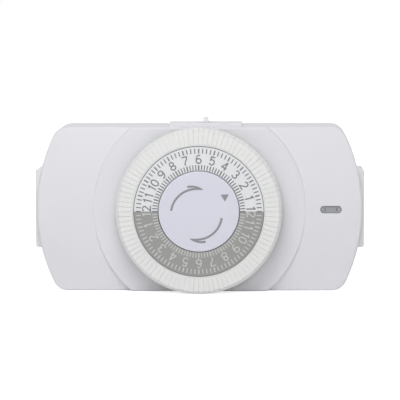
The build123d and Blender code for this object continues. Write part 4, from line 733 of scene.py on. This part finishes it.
figure_lines, hour_marks, quarter_marks = [], [], []
for hour in range(HOURS):
    text = str(hour % 12 or 12)
    for i, figure in enumerate(text):
        shift = (i - (len(text) - 1) / 2) * FIGURE_STEP
        for line, closed in FIGURES[figure]:
            moved = [(x + shift, y) for x, y in line]
            figure_lines.append((turned(moved, HOUR_PITCH * hour, FIGURE_CIRCLE), closed))
for quarter in range(HOURS * PINS_FOR_AN_HOUR):
    marks = quarter_marks if quarter % PINS_FOR_AN_HOUR else hour_marks
    for inner, outer in (OUTER_MARKS, INNER_MARKS):
        marks.append((turned([(0, inner), (0, outer)], PIN_PITCH * quarter, 0), False))

# screen inks: opaque and more matt than the ring, with the faint tooth of the screen
day_ink = moulded_plastic("grey screen ink", "7e7f83", "77787c", 0.5, 0.3, 0.004)
night_ink = moulded_plastic("white screen ink", "c9c9c6", "c2c2bf", 0.5, 0.3, 0.004)
# painted shadow: a grey line in ink like the marks, standing for the shade in the gap round the
# ring's edge
gap_shadow_ink = moulded_plastic("painted gap shadow, grey ink", "84858a", "7e7f84", 0.5, 0.3, 0.004)
printed = (("figures", figure_lines, FIGURE_PEN), ("hour_marks", hour_marks, HOUR_PEN),
           ("quarter_marks", quarter_marks, QUARTER_PEN))
for name, lines, width in printed:
    for half, ink, wanted in (("day", day_ink, False), ("night", night_ink, True)):
        chosen = [(points, closed) for points, closed in lines if is_night(points) == wanted]
        piece = ink_lines(chosen, width, RING_FACE)
        set_up(piece, f"{name}_{half}", ink, "dial")
# painted shadow round the ring's edge, drawn as a line of ink
gap_shadow_points = [(x, y, 1.0) for x, y in arc(0, 0, GAP_SHADOW_CIRCLE, GAP_SHADOW_CIRCLE, 0, 358, 179)]
gap_shadow_line = ink_lines([(gap_shadow_points, True)], GAP_SHADOW_PEN, RING_FACE)
set_up(gap_shadow_line, "ring_gap_shadow", gap_shadow_ink, "dial")


# ---- Centre cap ----
# The cap over the hub doesn't turn. It is smooth, slightly violet white ABS with a thin rim. Two
# arrows that show which way the dial goes, and a small triangle that the time is set against, are
# pad printed on it.

CAP_FACE = 47.6
CAP_RIM_INNER, CAP_RIM_OUTER = 18.1, 18.45
CAP_RIM_BACK, CAP_RIM_FRONT = 46.7, 47.5
CAP_RIM_EDGE = 0.12
ARROWS_AT = (-1.06, -1.28)
ARROW_PEN = 1.0
ARROW_RADIUS = 11.64
ARROW_START, ARROW_SWEEP = 172.0, 96.0  # degrees
TAPER_FROM, TAPER = 0.85, 3.6       # the share of the line where it narrows, and how fast
BARB_RADIUS = 13.2
BARB_START, BARB_SWEEP = 108.5, 32.5    # degrees
BARB_BEND, BARB_TAPER = 1.3, 0.5
POINTER_AT = (11.9, 6.73)
POINTER_RADIUS = 2.2
POINTER_TURN = 33.0                 # degrees
POINTER_CORNER = 0.18

# glossier and bluer than the case, without a grain
cap_abs = moulded_plastic("violet-white ABS, smooth", "dcdce8", "d8d8e5", 0.3, 0.8, 0.003)
wear(cap_abs, "centre_cap")

bpy.ops.object.select_all(action="DESELECT")
bpy.ops.mesh.primitive_cylinder_add(
    vertices=128, radius=CAP_RIM_OUTER * MM, depth=(CAP_RIM_FRONT - CAP_RIM_BACK) * MM,
    location=(0, 0, (CAP_RIM_FRONT + CAP_RIM_BACK) / 2 * MM))
cap_rim = bpy.context.object
apply_place()
bpy.ops.object.mode_set(mode="EDIT")
pick(cap_rim, "faces", lambda f: abs(f.normal.z) > 0.9)
bpy.ops.mesh.inset(thickness=(CAP_RIM_OUTER - CAP_RIM_INNER) * MM, depth=0)
bpy.ops.mesh.bridge_edge_loops()
bpy.ops.mesh.select_all(action="SELECT")
bpy.ops.mesh.normals_make_consistent(inside=False)
pick(cap_rim, "edges",
     lambda e: near(middle(e).z, CAP_RIM_FRONT) and near(middle(e).xy.length, CAP_RIM_OUTER))
bpy.ops.mesh.bevel(offset=CAP_RIM_EDGE * MM, segments=2)
bpy.ops.object.mode_set(mode="OBJECT")
smooth_faces()
set_up(cap_rim, "cap_rim", cap_abs, "housing")

# pad-printing ink: a soft neutral grey, with a little more shine than the screen inks
cap_ink = moulded_plastic("grey pad-printing ink", "8e9094", "888a8e", 0.45, 0.3, 0.004)


def arrow(turn):
    """One arrow: a line round its centre, and a barb that leaves the line behind the tip."""
    shaft, barb = [], []
    for i in range(25):
        share = i / 24
        angle = math.radians(ARROW_START - ARROW_SWEEP * share + turn)
        factor = 1.0 if share < TAPER_FROM else 1.0 - TAPER * (share - TAPER_FROM)
        shaft.append((ARROWS_AT[0] + ARROW_RADIUS * math.cos(angle),
                      ARROWS_AT[1] + ARROW_RADIUS * math.sin(angle), factor))
    for i in range(13):
        share = i / 12
        angle = math.radians(BARB_START - BARB_SWEEP * share + turn)
        radius = BARB_RADIUS + (ARROW_RADIUS - BARB_RADIUS) * share ** BARB_BEND
        barb.append((ARROWS_AT[0] + radius * math.cos(angle),
                     ARROWS_AT[1] + radius * math.sin(angle), 1.0 - BARB_TAPER * share ** 2))
    return [(shaft, False), (barb, False)]


arrows = ink_lines(arrow(0) + arrow(180), ARROW_PEN, CAP_FACE)
set_up(arrows, "turn_arrows", cap_ink, "housing")

bpy.ops.object.select_all(action="DESELECT")
bpy.ops.mesh.primitive_circle_add(
    vertices=3, radius=POINTER_RADIUS * MM, fill_type="NGON",
    location=(POINTER_AT[0] * MM, POINTER_AT[1] * MM, (CAP_FACE - INK_SUNK) * MM),
    rotation=(0, 0, math.radians(POINTER_TURN - 90)))
pointer = bpy.context.object
apply_place()
bpy.ops.object.mode_set(mode="EDIT")
bpy.ops.mesh.select_all(action="SELECT")
bpy.ops.mesh.bevel(offset=POINTER_CORNER * MM, segments=3, affect="VERTICES")
bpy.ops.mesh.select_all(action="SELECT")
extrude(0, 0, INK_SUNK + INK_PROUD)
bpy.ops.mesh.select_all(action="SELECT")
bpy.ops.mesh.normals_make_consistent(inside=False)
bpy.ops.object.mode_set(mode="OBJECT")
set_up(pointer, "time_pointer", cap_ink, "housing")


# ---- Floor, backdrop and light ----
# A plain white floor and surround, as in a small product studio: a large soft lamp behind the
# eye, a small one just above the object, whose light falls off down the face, and two behind for
# the back.

FLOOR_SIZE = 12.0                   # metres, as the lamps' places are
FLOOR_AT = -38.05                   # just under the case
FLOOR_WHITE = 0.67                  # what the eye and mirrors see of it, over its own light
SKY_LIGHT = 0.38                    # of the white that the eye sees

bpy.ops.object.select_all(action="DESELECT")
bpy.ops.mesh.primitive_plane_add(size=FLOOR_SIZE, location=(0, 0, FLOOR_AT * MM))
floor = bpy.context.object
floor.name = "floor"


def seen_directly(owner):
    """One for what the eye, a mirror or a clear body sees of a surface, nought for its light."""
    ray = add_node(owner, "LightPath", {}, {})
    eye_or_mirror = add_node(owner, "Math", {"operation": "ADD", "use_clamp": True},
                             {0: (ray, "Is Camera Ray"), 1: (ray, "Is Glossy Ray")})
    return add_node(owner, "Math", {"operation": "ADD", "use_clamp": True},
                    {0: (eye_or_mirror, "Value"), 1: (ray, "Is Transmission Ray")})


# uncoated paper: quite matt, and so white that it shows nothing but the object's shadow
paper = new_material("white paper floor", {
    "Base Color": linear("f2f2f2"), "Roughness": 0.9, "Specular IOR Level": 0.2,
    "Emission Color": linear("ffffff")})
paper_level = add_node(paper, "Math", {"operation": "MULTIPLY", 1: FLOOR_WHITE},
                       {0: (seen_directly(paper), "Value")})
feed(paper, "Emission Strength", paper_level, "Value")
floor.data.materials.append(paper)

world = bpy.data.worlds.new("white surround")
bpy.context.scene.world = world
world.use_nodes = True
backdrop = world.node_tree.nodes["Background"]
backdrop.inputs["Color"].default_value = linear("ffffff")
sky_level = add_node(world, "MapRange", {"To Min": SKY_LIGHT, "To Max": 1.0},
                     {"Value": (seen_directly(world), "Value")})
world.node_tree.links.new(sky_level.outputs["Result"], backdrop.inputs["Strength"])


def soft_lamp(name, place, size, watts):
    """A square white lamp aimed at the middle of the case."""
    bpy.ops.object.light_add(type="AREA", location=place)
    lamp = bpy.context.object
    lamp.name = name
    lamp.data.shape = "SQUARE"
    lamp.data.size = size
    lamp.data.energy = watts
    lamp.rotation_euler = (-Vector(place)).to_track_quat("-Z", "Y").to_euler()
    lamp.visible_camera = False


soft_lamp("front_lamp", (0.0, -1.5, 0.0), 0.8, 3.7)
soft_lamp("top_lamp", (-0.04, -0.33, 0.33), 0.26, 0.9)
soft_lamp("back_left_lamp", (-1.0, 1.2, 0.2), 0.8, 5.0)
soft_lamp("back_right_lamp", (1.0, 1.2, 0.2), 0.8, 5.0)


# ---- Camera ----
# A long lens 1.2 m away, a little above the middle of the case and just to its right.
# It sees the face almost square on, and only a sliver of the top.

EYE_DISTANCE = 1.2
EYE_TURN, EYE_RISE = 1.4, 4.8       # degrees to the right and up
EYE_LEAN = -0.12                    # degrees round its own axis
EYE_LENS = 234.4
AIM_AT = (0.0003, -0.036, 0.00434)

turn, rise = math.radians(EYE_TURN), math.radians(EYE_RISE)
away = Vector((math.sin(turn) * math.cos(rise), -math.cos(turn) * math.cos(rise), math.sin(rise)))
bpy.ops.object.camera_add(location=Vector(AIM_AT) + away * EYE_DISTANCE)
camera = bpy.context.object
camera.rotation_euler = (-away).to_track_quat("-Z", "Y").to_euler()
camera.rotation_euler.rotate_axis("Z", math.radians(EYE_LEAN))
camera.data.lens = EYE_LENS
camera.data.clip_start = 0.01
bpy.context.scene.camera = camera
bpy.context.scene.view_settings.view_transform = "Standard"
